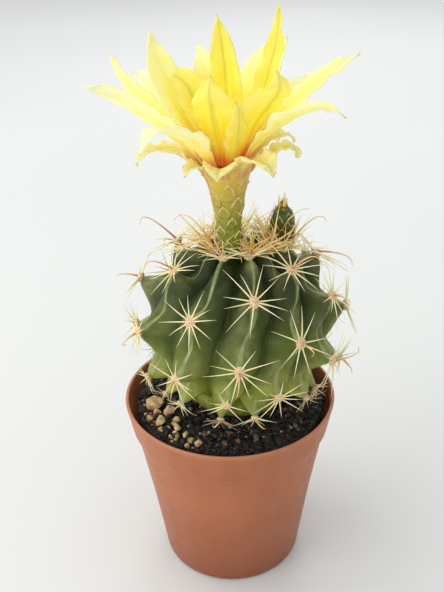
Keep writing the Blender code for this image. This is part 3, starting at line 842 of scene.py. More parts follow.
def grow(total, cone, foot, way, bend_to, length, thick, bends, taper=0.9):
    """Adds a spine that starts at foot, heads the given way and bends towards bend_to.
    bends is the angle it has turned by, in degrees, at even steps from foot to tip."""
    unit = coordinates(cone)
    rings = round(1 / np.min(unit[:, 2][unit[:, 2] > 1e-4]))
    steps = np.linspace(0, 1, rings + 1)
    angles = np.radians(np.interp(steps, np.linspace(0, 1, len(bends)), bends))
    middle = (angles[1:] + angles[:-1]) / 2
    ahead = np.concatenate([[0], np.cumsum(np.cos(middle))]) * length / rings
    aside = np.concatenate([[0], np.cumsum(np.sin(middle))]) * length / rings
    forward = Vector(way).normalized()
    side = (Vector(bend_to) - forward * forward.dot(Vector(bend_to))).normalized()
    across = forward.cross(side)
    ring = np.rint(unit[:, 2] * rings).astype(int)
    radius = thick / 2 * (1 - taper * steps[ring])
    f, s, n = (np.array(v) for v in (forward, side, across))
    in_plane = -np.sin(angles[ring])[:, None] * f + np.cos(angles[ring])[:, None] * s
    points = np.array(foot) + ahead[ring][:, None] * f + aside[ring][:, None] * s
    points = points + (unit[:, :1] * n + unit[:, 1:2] * in_plane) * radius[:, None]
    copy = cone.copy()
    copy.vertices.foreach_set("co", points.astype(np.float32).ravel())
    total.from_mesh(copy)
    bpy.data.meshes.remove(copy)


# %% [markdown]
# The spines are bone-like: cream with a yellow tinge, browner at the foot and tip. The hooked ones in the
# middle are reddish brown at the foot. The pad they grow from is a tuft of short peach-coloured felt, made
# from a bumpy dome with short hairs on it.

# %% Spine and felt finishes


def dry_spine(name, *stops):
    """A spine's finish from (share of its length, colour) stops."""
    finish = Finish(name, 0.45)
    length_colour = finish.ramp(finish.attribute("along"), *stops)
    finish.colour(finish.patches(length_colour, (0.93, 0.84, 0.58), 2.5, 3.0, (0.42, 0.0), (0.72, 0.35)))
    finish.bump(finish.noise(0.3, 2.0), 0.02)
    finish.waxy(0.2, 0.6, 0.4, 0.2)
    return finish.material


def peach_felt():
    finish = Finish("peach_felt", 0.95)
    fibre = finish.noise(0.35, 5.0)
    finish.colour(finish.ramp(fibre, (0.3, (0.55, 0.33, 0.17)), (0.6, (0.86, 0.66, 0.42)),
                              (0.8, (0.95, 0.82, 0.62))))
    finish.bump(fibre, 0.2)
    finish.set("Sheen Weight", 0.3)
    return finish.material


spine_finishes = [
    peach_felt(),
    dry_spine("pale_spine", (0.0, (0.80, 0.48, 0.18)), (0.12, (0.97, 0.82, 0.42)),
              (0.7, (0.99, 0.93, 0.60)), (1.0, (0.86, 0.64, 0.30))),
    dry_spine("hooked_spine", (0.0, (0.42, 0.13, 0.04)), (0.2, (0.62, 0.31, 0.10)),
              (0.6, (0.84, 0.58, 0.24)), (1.0, (0.68, 0.40, 0.16))),
    dry_spine("young_spine", (0.0, (0.72, 0.28, 0.05)), (0.25, (0.93, 0.60, 0.15)),
              (0.7, (0.98, 0.80, 0.34)), (1.0, (0.84, 0.52, 0.16))),
    dry_spine("old_spine", (0.0, (0.30, 0.14, 0.07)), (0.4, (0.58, 0.36, 0.20)), (1.0, (0.70, 0.50, 0.32))),
]
FELT, PALE, HOOKED, YOUNG, OLD = range(5)
cones = {PALE: unit_cone(5, 7, PALE), HOOKED: unit_cone(6, 14, HOOKED), YOUNG: unit_cone(5, 7, YOUNG),
         OLD: unit_cone(5, 7, OLD), FELT: unit_cone(3, 2, FELT)}

# %% [markdown]
# An areole is placed by the stem's rule: its pad sits on the crest, its own Z axis stands out of the skin and
# its X axis points up the rib. About a dozen radial spines spread from under the pad's edge nearly flat to
# the skin, and one hooked spine stands out and down. Lengths, turns and gaps are drawn at random, and now and
# then a spine is missing, because a plant is never a stamped star.

# %% One areole with its spines
PAD_R = 1.3
PAD_HAIRS = 18
RADIAL_COUNT = 12
RADIAL_LEN = 8.2
RADIAL_THICK = 0.44
HOOK_THICK = 0.62


def standing(spot, out, up):
    """A frame at a spot, with its Z along out and its X along up."""
    return Matrix.Translation(spot) @ Matrix((up, out.cross(up), out)).transposed().to_4x4()


def areole_frame(rib_index, lat, lift):
    """Place and turn of an areole, with Z out of the skin and X up the rib."""
    spot = stem_point(rib_index, lat)[0]
    azimuth = rib_at(RIBS[rib_index], lat)[0]
    nr, nz = profile_normal(lat)
    out = around(azimuth, nr, nz).normalized()
    return standing(spot + out * lift, out, around(azimuth, -nz, nr).normalized())


def felt_pad(total, frame_at, rng, size):
    bm = bmesh.new()
    bmesh.ops.create_icosphere(bm, subdivisions=3, radius=PAD_R * size)
    for vert in bm.verts:
        vert.co *= 1 + 0.16 * rough_noise(vert.co + Vector((rng.random() * 90, 0, 0)), 0.5)
    bmesh.ops.scale(bm, verts=bm.verts, vec=(1.12, 0.95, 0.62))
    bm.transform(frame_at)
    set_all(bm, "along", 0.0)
    pour(bm, total)
    turned = frame_at.to_3x3()
    for _ in range(PAD_HAIRS):
        tilt, swing = math.radians(rng.uniform(10, 85)), rng.uniform(0, math.tau)
        way = Vector((math.cos(swing) * math.sin(tilt), math.sin(swing) * math.sin(tilt), math.cos(tilt)))
        foot = frame_at @ (way * PAD_R * 0.55 * size)
        length = rng.uniform(0.4, 0.9) * size
        grow(total, cones[FELT], foot, turned @ way, turned @ Vector((0, 0, 1)), length, 0.12, (0, 30))


def radial_spines(total, frame_at, rng, size, kind, count, rise):
    turned = frame_at.to_3x3()
    start = rng.uniform(0, 360)
    for i in range(count):
        if rng.random() < 0.05:
            continue
        swing = math.radians(start + 360 * i / count + rng.uniform(-9, 9))
        lift = math.radians(rise + rng.uniform(-6, 9))
        flat = Vector((math.cos(swing), math.sin(swing), 0))
        way = flat * math.cos(lift) + Vector((0, 0, math.sin(lift)))
        foot = frame_at @ (flat * PAD_R * 0.5 * size + Vector((0, 0, 0.15)))
        length = RADIAL_LEN * size * rng.uniform(0.72, 1.12)
        sideways = rng.uniform(-14, 14)
        towards = Vector((0, 0, -1)) + flat.cross(Vector((0, 0, 1))) * math.radians(sideways) * 3
        bends = (0, rng.uniform(2, 8), rng.uniform(6, 16))
        thick = RADIAL_THICK * size**0.5
        grow(total, cones[kind], foot, turned @ way, turned @ towards, length, thick, bends)


def hooked_centre(total, frame_at, rng, lean, swing, length, hook, kind=HOOKED):
    """The middle spine. It leans from upright towards the side named by swing (0 is up the rib, 180 down),
    and its outer part curls over the same way by the angle hook."""
    turned = frame_at.to_3x3()
    tilt, aside = math.radians(lean), math.radians(swing)
    over = Vector((math.cos(aside), math.sin(aside), 0.0))
    way = over * math.sin(tilt) + Vector((0, 0, math.cos(tilt)))
    foot = frame_at @ Vector((0, 0, 0.35))
    bends = (0, 2, 5, 9, 16, 0.25 * hook, 0.65 * hook, hook)
    side = turned @ (over + Vector((0, 0, -0.6)))
    grow(total, cones[kind], foot, turned @ way, side, length, HOOK_THICK, bends, 0.8)


# %% [markdown]
# The hooks make a cactus of this kind easy to know, so those that stand out against the background are set
# one by one: which rib and areole, how far the spine leans, to which side, its length and the curl of its
# tip. Ribs differ in strength too, and one number for each rib scales its spines.

# %% The hooks that show, and how strong each rib grows
VIGOUR = [1.02, 1.04, 1.0, 1.0, 1.0, 1.0, 1.0, 1.0, 0.9, 0.86, 0.86]
HOOKS = {
    (0, 0): (35, 30, 9.0, 60),
    (0, 2): (4, 166, 7.9, 144),
    (1, 0): (25, -108, 14.0, 100),
    (1, 1): (14, 178, 11.0, 130),
    (1, 2): (6, 90, 9.5, 60),
    (2, 0): (23, -156, 13.5, 125),
    (2, 1): (34, 99, 9.2, 40),
    (2, 2): (40, -70, 8.0, 100),
    (3, 1): (50, 143, 10.5, 90),
    (7, 1): (25, -83, 14.5, 130),
    (8, 1): (12, 213, 6.2, 60),
    (8, 2): (42, 100, 8.0, 150),
    (9, 0): (36, 132, 15.0, 130),
    (9, 1): (18, 180, 9.5, 130),
    (9, 2): (50, 150, 7.0, 120),
}


def areole(total, rib_index, number, lat, rng):
    """One areole: near the crown it is young, upright and golden, and at the foot old, short and dry."""
    young = smooth_step((lat - 60) / 26)
    old = smooth_step((-4 - lat) / 20)
    near_crown = 1 + 0.08 * smooth_step((lat - 22) / 20) + 0.14 * smooth_step((lat - 62) / 10)
    size = VIGOUR[rib_index] * lerp(0.97, 0.58, old) * near_crown
    frame_at = areole_frame(rib_index, lat, 0.55)
    felt_pad(total, frame_at, rng, lerp(1.0, 0.75, old))
    kind = YOUNG if young > 0.8 else OLD if old > 0.9 and rng.random() < 0.8 else PALE
    count = round(lerp(RADIAL_COUNT, 9, old)) + rng.choice((-1, 0, 1))
    radial_spines(total, frame_at, rng, size, kind, count, lerp(11, 34, young) + 10 * old)
    hook = HOOKS.get((rib_index, number))
    if hook:
        hooked_centre(total, frame_at, rng, *hook)
    elif young > 0.3 or rng.random() < 0.4:
        lean, swing = rng.uniform(10, 50), rng.uniform(-70, 70) if young > 0.3 else rng.uniform(120, 240)
        hooked_centre(total, frame_at, rng, lean, swing, rng.uniform(6, 8.5) * size, rng.uniform(70, 150))


# %% [markdown]
# Two areoles on each rib have a plain stand-in in the frame: those nearest two latitudes, one above the waist
# and one near it. Their detailed versions take the place of those. The others, nearer the crown and the soil,
# are joined in two extra pieces.

# %% All the areoles
SHOWN_LATS = (42, 4)


def make_areoles():
    crown, foot = bmesh.new(), bmesh.new()
    for k, rib in enumerate(RIBS):
        shown = {min(range(len(rib)), key=lambda i: abs(rib[i][1] - target)): word
                 for target, word in zip(SHOWN_LATS, ("upper", "waist"))}
        for i, (_, lat) in enumerate(rib):
            rng = random.Random(100 * k + i)
            if i in shown:
                bm = bmesh.new()
                areole(bm, k, i, lat, rng)
                node = f"spines_rib{k + 1:02d}_{shown[i]}"
                piece_from(bm, node.replace("spines", "areole"), spine_finishes, [node])
            else:
                areole(crown if lat > 40 else foot, k, i, lat, rng)
    piece_from(crown, "areoles_crown", spine_finishes)
    piece_from(foot, "areoles_foot", spine_finishes)


make_areoles()

# %% [markdown]
# New areoles form at the very top, where their golden spines stand in a dense tuft. Nine of them stand
# upright and packed round the flower's foot, each given as (azimuth, latitude).

# %% The young tuft on the crown
TUFT_SPOTS = [(40, 82), (66, 76), (92, 76), (8, 85), (-62, 80), (125, 74), (80, 70), (-105, 76), (178, 78)]


def make_tuft():
    total = bmesh.new()
    rng = random.Random(7)
    for azimuth, lat in TUFT_SPOTS:
        r, z = profile_point(lat)
        spot = around(azimuth, r, z) + Vector((STEM_X, STEM_Y, 0.2))
        out = around(azimuth, 0.35, 1.0).normalized()
        frame_at = standing(spot, out, (Vector((0, 0, 1)) - out * out.z).normalized())
        felt_pad(total, frame_at, rng, 0.9)
        radial_spines(total, frame_at, rng, 1.15, YOUNG, 8, 48)
        radial_spines(total, frame_at, rng, 1.05, PALE, 4, 30)
        hooked_centre(total, frame_at, rng, rng.uniform(0, 22), rng.uniform(0, 360), rng.uniform(9.5, 14.5),
                      rng.uniform(5, 60), YOUNG)
    piece_from(total, "crown_tuft", spine_finishes)


make_tuft()

# %% [markdown]
# ## The flower
# The flower stands on a tube that widens upwards like a trumpet. It is fleshy, green at the foot and yellow
# at the top, and it carries pointed scales with pale edges in a spiral. The tube is a spun outline. The
# scales are small leaf-shaped plates laid on it, each a grid that is bent to the tube.

# %% The flower's own frame
FLOWER_LEAN = Matrix.Rotation(math.radians(-1.0), 4, "Y")
FLOWER_FOOT = Vector((0.65, -3.5, 94.3))
TUBE_LEN = 22.5
TUBE_PROFILE = [(0.0, 2.2), (3.0, 2.6), (9.0, 3.1), (14.5, 4.0), (19.0, 5.1), (22.5, 6.4)]
THROAT_R = 2.6
THROAT_DEPTH = 5.0
flower_frame = Matrix.Translation(FLOWER_FOOT) @ FLOWER_LEAN
print("tube top mm:", round(box_mm("flower_tube")[1].z, 1))


def tube_radius(z):
    heights, radii = zip(*TUBE_PROFILE)
    return float(np.interp(z, heights, radii))


def fleshy_tube():
    finish = Finish("fleshy_tube", 0.42)
    height = finish.attribute("along")
    flesh = finish.ramp(height, (0.0, (0.085, 0.135, 0.003)), (0.35, (0.19, 0.23, 0.008)),
                        (0.7, (0.52, 0.42, 0.03)), (1.0, (0.86, 0.50, 0.08)))
    streaks = finish.ramp(finish.noise(0.7, 4.0, stretch=(1.0, 1.0, 0.2)), (0.35, 0.0), (0.7, 0.35))
    finish.colour(finish.mix(streaks, flesh, (0.50, 0.44, 0.06)))
    finish.bump(finish.noise(0.6, 3.0, stretch=(1.0, 1.0, 0.3)), 0.12, 0.6)
    finish.waxy(0.2, 1.5, 1.5, 0.4)
    return finish.material


def make_tube():
    rows = [TUBE_LEN * i / 24 for i in range(25)]
    throat_z = TUBE_LEN - THROAT_DEPTH
    outline = [(0.0, throat_z), (THROAT_R * 0.7, throat_z), (THROAT_R, TUBE_LEN - 2)]
    outline += [(tube_radius(TUBE_LEN) - 0.7, TUBE_LEN)] + [(tube_radius(z), z) for z in reversed(rows)]
    outline += [(1.6, -1.2), (0.0, -1.2)]
    bm = spun(outline, 48)
    layer = bm.verts.layers.float.new("along")
    for vert in bm.verts:
        vert[layer] = max(0.0, min(1.0, vert.co.z / TUBE_LEN))
        vert.co.xy *= 1 + 0.05 * rough_noise(vert.co, 3.0)
    bm.transform(flower_frame)
    piece_from(bm, "trumpet_tube", [fleshy_tube()], ["flower_tube"])


make_tube()

# %% [markdown]
# A scale, a sepal and a petal differ only in outline, curl and size, so one function makes them all. It
# starts from a flat grid. The rows run from foot to tip and carry the number along. The columns run across
# and carry the number side, from -1 to 1. The blade's middle line is bent to its curve, its width follows an
# outline, and then it is cupped, rippled and given a fine pointed tip. Solidify makes it a closed leaf a
# fraction of a millimetre thick.

# %% A blade: scale, sepal or petal


def blade(columns, rows, line, half_width, cup, ripple, seed, thick, sway=0.0, twist=0.0):
    """line(t) gives (radius, height, angle) along the middle, half_width(t) the outline and cup(t, side) the
    lift. The tip sways sideways by a length, and the blade twists on its own line by an angle in degrees."""
    bm = bmesh.new()
    bmesh.ops.create_grid(bm, x_segments=columns, y_segments=rows, size=1.0)
    along_layer = bm.verts.layers.float.new("along")
    side_layer = bm.verts.layers.float.new("side")
    offset = Vector((seed * 7.3, 0, 0))
    for vert in bm.verts:
        side, t = vert.co.x, (vert.co.y + 1) / 2
        r, z, angle = line(t)
        half = half_width(t)
        turn = math.radians(twist) * smooth_step(t)
        inward, across = Vector((-math.cos(angle), 0.0, math.sin(angle))), Vector((0.0, 1.0, 0.0))
        flat = across * math.cos(turn) + inward * math.sin(turn)
        raised = inward * math.cos(turn) - across * math.sin(turn)
        lift = cup(t, side) * half
        folds = rough_noise(Vector((t * 12, side * 1.2, 0)) + offset, 1.3)
        wave = ripple * (0.2 + side * side) * folds * smooth_step(t * 3)
        nicks = rough_noise(Vector((t * 14, math.copysign(3, side), 0)) + offset, 1.0)
        ragged = 1 + 0.12 * nicks * smooth_step(t * 2)
        middle = Vector((r, sway * t * t, z))
        vert.co = middle + flat * (side * half * ragged) + raised * (lift + wave)
        vert[along_layer] = t
        vert[side_layer] = side
    bmesh.ops.recalc_face_normals(bm, faces=bm.faces)
    bmesh.ops.solidify(bm, geom=bm.faces, thickness=thick)
    bmesh.ops.recalc_face_normals(bm, faces=bm.faces)
    return bm


def arc_line(open_foot, open_tip, length, ring_r, start_z, tip_curl=0.0, power=1.0):
    """A middle line whose opening goes from one angle to the other, with an extra curl in the last third."""
    count = 60
    radii, heights, angles = [ring_r], [start_z], []
    for i in range(count + 1):
        t = i / count
        angle = math.radians(lerp(open_foot, open_tip, t**power) + tip_curl * smooth_step((t - 0.68) / 0.32))
        angles.append(angle)
        radii.append(radii[-1] + length / count * math.sin(angle))
        heights.append(heights[-1] + length / count * math.cos(angle))

    def line(t):
        x = t * count
        i = min(int(x), count - 1)
        parts = (radii, heights, angles)
        return tuple(lerp(values[i], values[i + 1], x - i) for values in parts)

    return line


# %% [markdown]
# The scales sit in a spiral, each turned by the golden angle from the last, which is how plants pack leaves.
# The lower ones are green and the upper ones orange-yellow, all with a pale edge, and towards the flower they
# grow longer and curl out more.

# %% Scales on the tube
GOLDEN_ANGLE = 137.5
SCALE_COUNT = 34


def scale_skin(name, low, high, edge):
    finish = Finish(name, 0.5)
    along_it, side = finish.attribute("along"), finish.attribute("side")
    outer_half = finish.ramp(along_it, (0.25, 0.0), (0.6, 1.0))
    rim = finish.times(finish.ramp(finish.maths("ABSOLUTE", side), (0.55, 0.0), (0.9, 1.0)), outer_half)
    tip = finish.ramp(along_it, (0.72, 0.0), (0.95, 1.0))
    body = finish.mix(finish.ramp(finish.attribute("share"), (0.25, 0.0), (0.85, 1.0)), low, high)
    body = finish.patches(body, high, 0.8, 4.0, (0.4, 0.0), (0.7, 0.4))
    finish.colour(finish.mix(finish.maths("MAXIMUM", rim, tip), body, edge))
    finish.bump(finish.noise(0.4, 3.0), 0.06)
    finish.lets_light_through(0.15, high)
    return finish.material


def scale_outline(t, width):
    return width / 2 * max(0.03, (1 - t**2.2)) * (0.8 + 0.4 * smooth_step(t * 4) * (1 - t))


def make_scales():
    rng = random.Random(21)
    total = bmesh.new()
    for i in range(SCALE_COUNT):
        share = (i + 0.5) / SCALE_COUNT
        z = lerp(0.8, TUBE_LEN - 2.2, share**0.85)
        length = lerp(2.6, 7.8, share**1.6) * rng.uniform(0.9, 1.1)
        width = lerp(2.3, 5.0, share**1.3)
        slope = math.degrees(math.atan((tube_radius(min(z + 2, TUBE_LEN)) - tube_radius(z)) / 2))
        line = arc_line(slope, slope + 5, length, tube_radius(z), z, tip_curl=lerp(18, 58, share))
        wrap = 1 / tube_radius(z)

        def hug(t, side, width=width, wrap=wrap):
            half = scale_outline(t, width)
            return half * side * side * wrap * 0.5 - 0.05 * side * side

        bm = blade(8, 10, line, lambda t, width=width: scale_outline(t, width), hug, 0.05, i, 0.22)
        set_all(bm, "share", share)
        bm.transform(Matrix.Rotation(math.radians(GOLDEN_ANGLE * i - 96), 4, "Z"))
        bm.transform(flower_frame)
        pour(bm, total)
    skin = scale_skin("tube_scale", (0.16, 0.20, 0.006), (0.86, 0.56, 0.10), (0.96, 0.80, 0.38))
    piece_from(total, "tube_scales", [skin])


make_scales()

# %% [markdown]
# The petals open in three rings with curled sepals below. Each line gives one petal's azimuth, its opening
# at the foot and at the tip in degrees off the flower's axis, its length and its width. The last three
# numbers are an extra curl of the tip, a sideways sway of the tip and a twist, which the plain stand-ins
# don't have.

# %% The rings of petals
PETAL_RINGS = [
    ("petal_inner", 3.0, 0.4, [
        (-28, 8, 31, 22, 12.5, -45, 1.0, 8),
        (22, 34, 6, 18, 5.5, -80, 0.0, 20),
        (66, 18, 51, 24, 11.0, -75, 0.0, -50),
        (128, 37, 11, 35.5, 6.0, -12, 0.0, 20),
        (170, 14, -22, 33, 7.5, -10, 1.0, 10),
        (241, 13, 36, 24, 10.0, 80, 0.0, -40),
    ]),
    ("petal_middle", 4.3, 0.4, [
        (70, 34, 80, 28, 10.0, 45, 0.0, -30),
        (103, 41, 60, 34.5, 6.5, 10, 0.0, 25),
        (153, 34, 50, 33, 10.5, 25, -3.5, 12),
        (209, 26, 4, 26, 8.0, 60, -1.4, -20),
        (244, 31, 21, 31, 9.0, -20, 1.5, -45),
        (277, 43, 39, 32, 9.5, -25, 0.0, 40),
    ]),
    ("petal_outer", 5.5, 0.4, [
        (138, 52, 66, 30, 9.0, 40, -3.0, 0),
        (184, 44, 58, 31, 9.0, 20, 0.0, 15),
        (226, 46, 60, 30, 9.0, 30, 0.0, -25),
        (293, 42, 54, 33.5, 8.5, 15, 0.0, 40),
        (320, 32, 87, 27, 9.5, 60, 0.0, 15),
    ]),
    ("sepal", 6.0, -1.6, [
        (-10, 12, 130, 9, 8.0, 20, 0.0, 0),
        (-46, 14, 130, 9, 5.0, 20, 0.0, 0),
        (-73, 32, 104, 18.5, 5.4, 70, 0.0, 0),
        (-102, 40, 110, 16, 5.4, 40, 0.0, 0),
        (38, 12, 137, 13, 8.5, 10, 0.0, 0),
        (84, 31, 100, 13.5, 4.2, 90, 0.0, 20),
        (124, 40, 110, 16, 5.4, 40, 0.0, 0),
        (168, 40, 120, 14, 5.4, 40, 0.0, 0),
        (214, 40, 110, 16, 5.4, 40, 0.0, 0),
    ]),
]

# %% [markdown]
# A petal is pale lemon at its margins and tip, strong yellow down the middle, and orange-red at its foot,
# which is what makes the throat glow. Fine veins run its length. It is so thin that light comes through, so a
# part of its shading is translucent. On top of that it gives off a faint painted glow in its own colours,
# though it is no lamp. Both the colours and the veins follow the numbers along and side.

# %% Petal finishes


def petal_skin(name, heart, middle, margin, foot_red, midrib):
    finish = Finish(name, 0.5)
    along_it, side = finish.attribute("along"), finish.attribute("side")
    across = finish.maths("ABSOLUTE", side)
    veins = finish.nodes.new("ShaderNodeTexWave")
    veins.bands_direction = "X"
    veins.inputs["Scale"].default_value = 2.2
    veins.inputs["Distortion"].default_value = 1.2
    joined = finish.nodes.new("ShaderNodeCombineXYZ")
    finish.plug(finish.times(side, 1.6), joined.inputs["X"])
    finish.plug(finish.times(along_it, 0.5), joined.inputs["Y"])
    finish.links.new(joined.outputs["Vector"], veins.inputs["Vector"])
    lines = veins.outputs["Fac"]
    lengthwise = finish.ramp(along_it, (0.0, foot_red), (0.07, foot_red), (0.16, heart), (0.45, middle),
                             (0.95, margin))
    edge_share = finish.times(finish.ramp(across, (0.35, 0.0), (0.95, 0.85)),
                              finish.ramp(along_it, (0.15, 0.0), (0.4, 1.0)))
    colour = finish.mix(edge_share, lengthwise, margin)
    colour = finish.mix(finish.ramp(lines, (0.2, 0.22), (0.6, 0.0)), colour, heart)
    fold = finish.nodes.new("ShaderNodeTexNoise")
    fold.inputs["Scale"].default_value = 3.2
    finish.links.new(joined.outputs["Vector"], fold.inputs["Vector"])
    colour = finish.mix(finish.ramp(fold.outputs["Fac"], (0.42, 0.0), (0.62, 0.55)), colour, margin)
    rib = finish.times(finish.ramp(across, (0.0, 1.0), (0.20, 0.0)),
                       finish.ramp(along_it, (0.2, 0.0), (0.6, midrib)))
    colour = finish.mix(rib, colour, (0.46, 0.52, 0.06))
    colour = finish.patches(colour, margin, 5, 3.0, (0.4, 0.0), (0.75, 0.25))
    finish.colour(colour)
    coarse = finish.bump(lines, 0.10, 0.5)
    finish.bump(finish.noise(0.5, 3.0), 0.04, 0.4, under=coarse)
    # Painted glow: the petal's own colour is also given off as faint light.
    finish.set("Emission Color", colour)
    finish.set("Emission Strength", 0.13)
    finish.lets_light_through(0.42, colour)
    return finish.material


petal_finishes = {
    "petal_inner": petal_skin("inner_petal", (1.0, 0.72, 0.008), (1.0, 0.91, 0.02), (1.0, 0.95, 0.32),
                              (0.92, 0.09, 0.03), 0.4),
    "petal_middle": petal_skin("middle_petal", (1.0, 0.80, 0.02), (1.0, 0.95, 0.17), (1.0, 1.0, 0.68),
                               (0.92, 0.18, 0.04), 0.08),
    "petal_outer": petal_skin("outer_petal", (1.0, 0.84, 0.08), (1.0, 0.96, 0.34), (1.0, 1.0, 0.78),
                              (0.92, 0.36, 0.08), 0.08),
    "sepal": petal_skin("sepal_skin", (0.80, 0.55, 0.09), (0.92, 0.78, 0.20), (1.0, 0.95, 0.55),
                        (0.78, 0.38, 0.09), 0.6),
}


def petal_outline(t, width, foot):
    """Half the width along a petal: a narrow foot, then a broad strap, and a point with a fine tip."""
    body = lerp(foot / width, 1.0, smooth_step(t / 0.5)) * (1 - t**4.5) ** 1.15
    tip = 0.16 * (1 - t) + 0.06
    return max(body * width / 2, tip)


def make_petal(ring, index, ring_r, rise, numbers):
    azimuth, open_foot, open_tip, length, width, curl, sway, twist = numbers
    line = arc_line(open_foot, open_tip, length, ring_r, TUBE_LEN + rise - 0.6, tip_curl=curl)
    seed = sum(ord(letter) for letter in ring) % 37 + index * 3.7

    def cup(t, side):
        """A fold along the middle that opens towards the tip, and edges that turn up a little."""
        fold = 0.20 * abs(side) ** 0.8 * smooth_step(t * 4) * (1 - 0.6 * t)
        return 0.30 * side * side * (1 - 0.5 * t) + fold

    bm = blade(18, 44, line, lambda t: petal_outline(t, width, 3.2), cup, 1.3, seed, 0.22, sway, twist)
    bm.transform(Matrix.Rotation(math.radians(azimuth - 90), 4, "Z"))
    bm.transform(flower_frame)
    node = f"{ring}_{index}"
    piece_from(bm, f"{node}_blade", [petal_finishes[ring]], [node])


for ring_name, ring_radius, ring_rise, petals in PETAL_RINGS:
    for petal_index, petal_numbers in enumerate(petals, 1):
        make_petal(ring_name, petal_index, ring_radius, ring_rise, petal_numbers)

# %% [markdown]
# Down in the throat stands a brush of stamens: fine red-footed threads with a grain of pollen on each. The
# style rises through them and ends in a star of pale lobes. Threads and lobes are the same bent cone as the
# spines.

# %% Stamens and style


def thread():
    finish = Finish("thread", 0.5)
    finish.colour(finish.ramp(finish.attribute("along"), (0.0, (0.70, 0.10, 0.02)),
                              (0.35, (0.88, 0.50, 0.05)), (1.0, (0.92, 0.78, 0.25))))
    finish.bump(finish.noise(0.2, 2.0), 0.02)
    return finish.material


STAMEN_COUNT = 90
STYLE_LOBES = 8
HEART_Z = TUBE_LEN - THROAT_DEPTH + 0.3
pollen = speckled("pollen", 0.8, (0.3, 3.0), (0.3, (0.80, 0.45, 0.03)), (0.7, (0.95, 0.72, 0.12)),
                  (0.15, 3.0), 0.05)
heart_finishes = [pollen, thread()]
thread_cone = unit_cone(4, 6, 1)
lobe_cone = unit_cone(6, 6, 1)
grains = crumb_shapes(31, 4, 1, 0.08, (0.8, 1.0))


def make_stamens():
    rng = random.Random(5)
    total = bmesh.new()
    for _ in range(STAMEN_COUNT):
        azimuth, tilt = rng.uniform(0, 360), math.radians(rng.uniform(4, 20))
        foot = around(azimuth, rng.uniform(0.8, 1.7), HEART_Z)
        way = around(azimuth, math.sin(tilt), math.cos(tilt))
        length = rng.uniform(7.5, 11.5)
        bends = (0, 4, 12, rng.uniform(15, 40))
        grow(total, thread_cone, foot, way, around(azimuth + 180, 1.0), length, 0.2, bends, 0.4)
        tip = foot + way * length * 0.96 + around(azimuth + 180, 0.11 * length)
        lay(total, rng.choice(grains), Matrix.Translation(tip) @ random_turn(rng) @ Matrix.Scale(0.36, 4))
    total.transform(flower_frame)
    piece_from(total, "stamen_brush", heart_finishes, ["stamens"])


def make_style():
    total = bmesh.new()
    grow(total, lobe_cone, (0, 0, HEART_Z), (0, 0, 1), (1, 0, 0), 13.0, 0.9, (0, 1, 0), 0.2)
    for lobe in range(STYLE_LOBES):
        azimuth = 360 / STYLE_LOBES * lobe
        way = around(azimuth, 0.35, 1.0)
        grow(total, lobe_cone, (0, 0, HEART_Z + 12.4), way, around(azimuth, 1.0), 2.6, 0.7, (0, 20, 55), 0.5)
    total.transform(flower_frame)
    piece_from(total, "style_star", heart_finishes, ["style"])


make_stamens()
make_style()

# %% [markdown]
# ## The bud
# The next flower is still a closed bud beside the first one. It is a small barrel, wrapped in overlapping
# dark green scales with yellow edges. Young spines rise round its foot, and a few stand in a tuft on its tip.

# %% Bud
bud_low, bud_high = box_mm("flower_bud")
BUD_FOOT = Vector(((bud_low.x + bud_high.x) / 2, (bud_low.y + bud_high.y) / 2, bud_low.z))
BUD_LEN = bud_high.z - bud_low.z
BUD_R = (bud_high.x - bud_low.x) / 2
BUD_STEPS = 20
BUD_SCALES = 46
print("bud length and radius mm:", round(BUD_LEN, 1), round(BUD_R, 1))


def bud_radius(t):
    closing = max(0.0, (t - 0.55) / 0.45) ** 2.4
    return BUD_R * (0.82 + 0.18 * math.sin(math.pi * t)) * math.sqrt(max(0.0, 1 - closing))


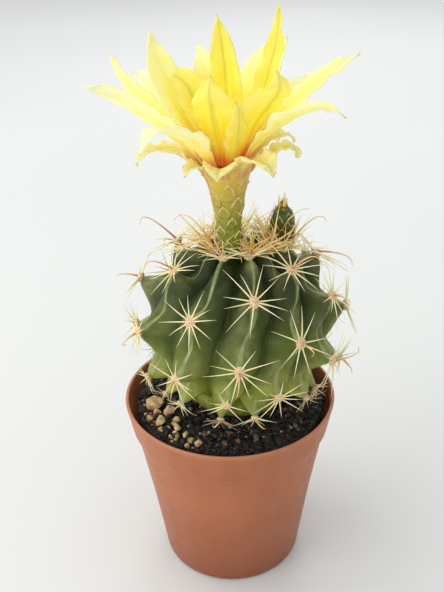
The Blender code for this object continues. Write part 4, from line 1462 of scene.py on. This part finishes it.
def make_bud():
    shares = [1 - i / BUD_STEPS for i in range(1, BUD_STEPS + 1)]
    side = [(bud_radius(share) * 0.94, BUD_LEN * share) for share in shares]
    bm = spun([(0.0, BUD_LEN)] + side + [(0.0, 0.0)], 32)
    bmesh.ops.translate(bm, verts=bm.verts, vec=BUD_FOOT)
    flesh = speckled("bud_flesh", 0.5, (1.2, 4.0), (0.35, (0.03, 0.055, 0.01)), (0.7, (0.09, 0.14, 0.03)),
                     (0.5, 3.0), 0.1)
    piece_from(bm, "bud_core", [flesh], ["flower_bud"])
    rng = random.Random(33)
    total = bmesh.new()
    for i in range(BUD_SCALES):
        share = (i + 0.5) / BUD_SCALES
        z = BUD_LEN * share * 0.92
        length, width = lerp(2.0, 2.8, share), lerp(2.0, 2.3, share)
        slope = math.degrees(math.atan2(bud_radius(min(1, share + 0.1)) - bud_radius(share), 0.1 * BUD_LEN))
        line = arc_line(slope * 0.6, slope, length, bud_radius(share) * 0.96, z, tip_curl=22)

        def hug(t, side):
            return 0.16 * side * side

        blade_bm = blade(6, 8, line, lambda t, width=width: scale_outline(t, width), hug, 0.05, i, 0.2)
        set_all(blade_bm, "share", share)
        turn = Matrix.Rotation(math.radians(GOLDEN_ANGLE * i + rng.uniform(-4, 4)), 4, "Z")
        blade_bm.transform(Matrix.Translation(BUD_FOOT) @ turn)
        pour(blade_bm, total)
    skin = scale_skin("bud_scale", (0.030, 0.050, 0.006), (0.07, 0.10, 0.012), (0.80, 0.58, 0.12))
    piece_from(total, "bud_scales", [skin])
    spines = bmesh.new()
    for i in range(22):
        azimuth = rng.uniform(0, 360)
        foot = BUD_FOOT + around(azimuth, BUD_R * 0.8, rng.uniform(-0.4, 0.8))
        way = around(azimuth, rng.uniform(0.15, 0.9), 1.0)
        length, bend = rng.uniform(6, 10.5), rng.uniform(-8, 14)
        grow(spines, cones[YOUNG], foot, way, around(azimuth, 1.0), length, 0.36, (0, bend))
    for _ in range(14):
        azimuth = rng.uniform(0, 360)
        foot = BUD_FOOT + around(azimuth, rng.uniform(0, 1.2), BUD_LEN - 1.2)
        way, length = around(azimuth, 0.16, 1.0), rng.uniform(2.6, 4.6)
        grow(spines, cones[YOUNG], foot, way, around(azimuth, -1.0), length, 0.5, (0, 12))
    piece_from(spines, "bud_spines", spine_finishes)


make_bud()
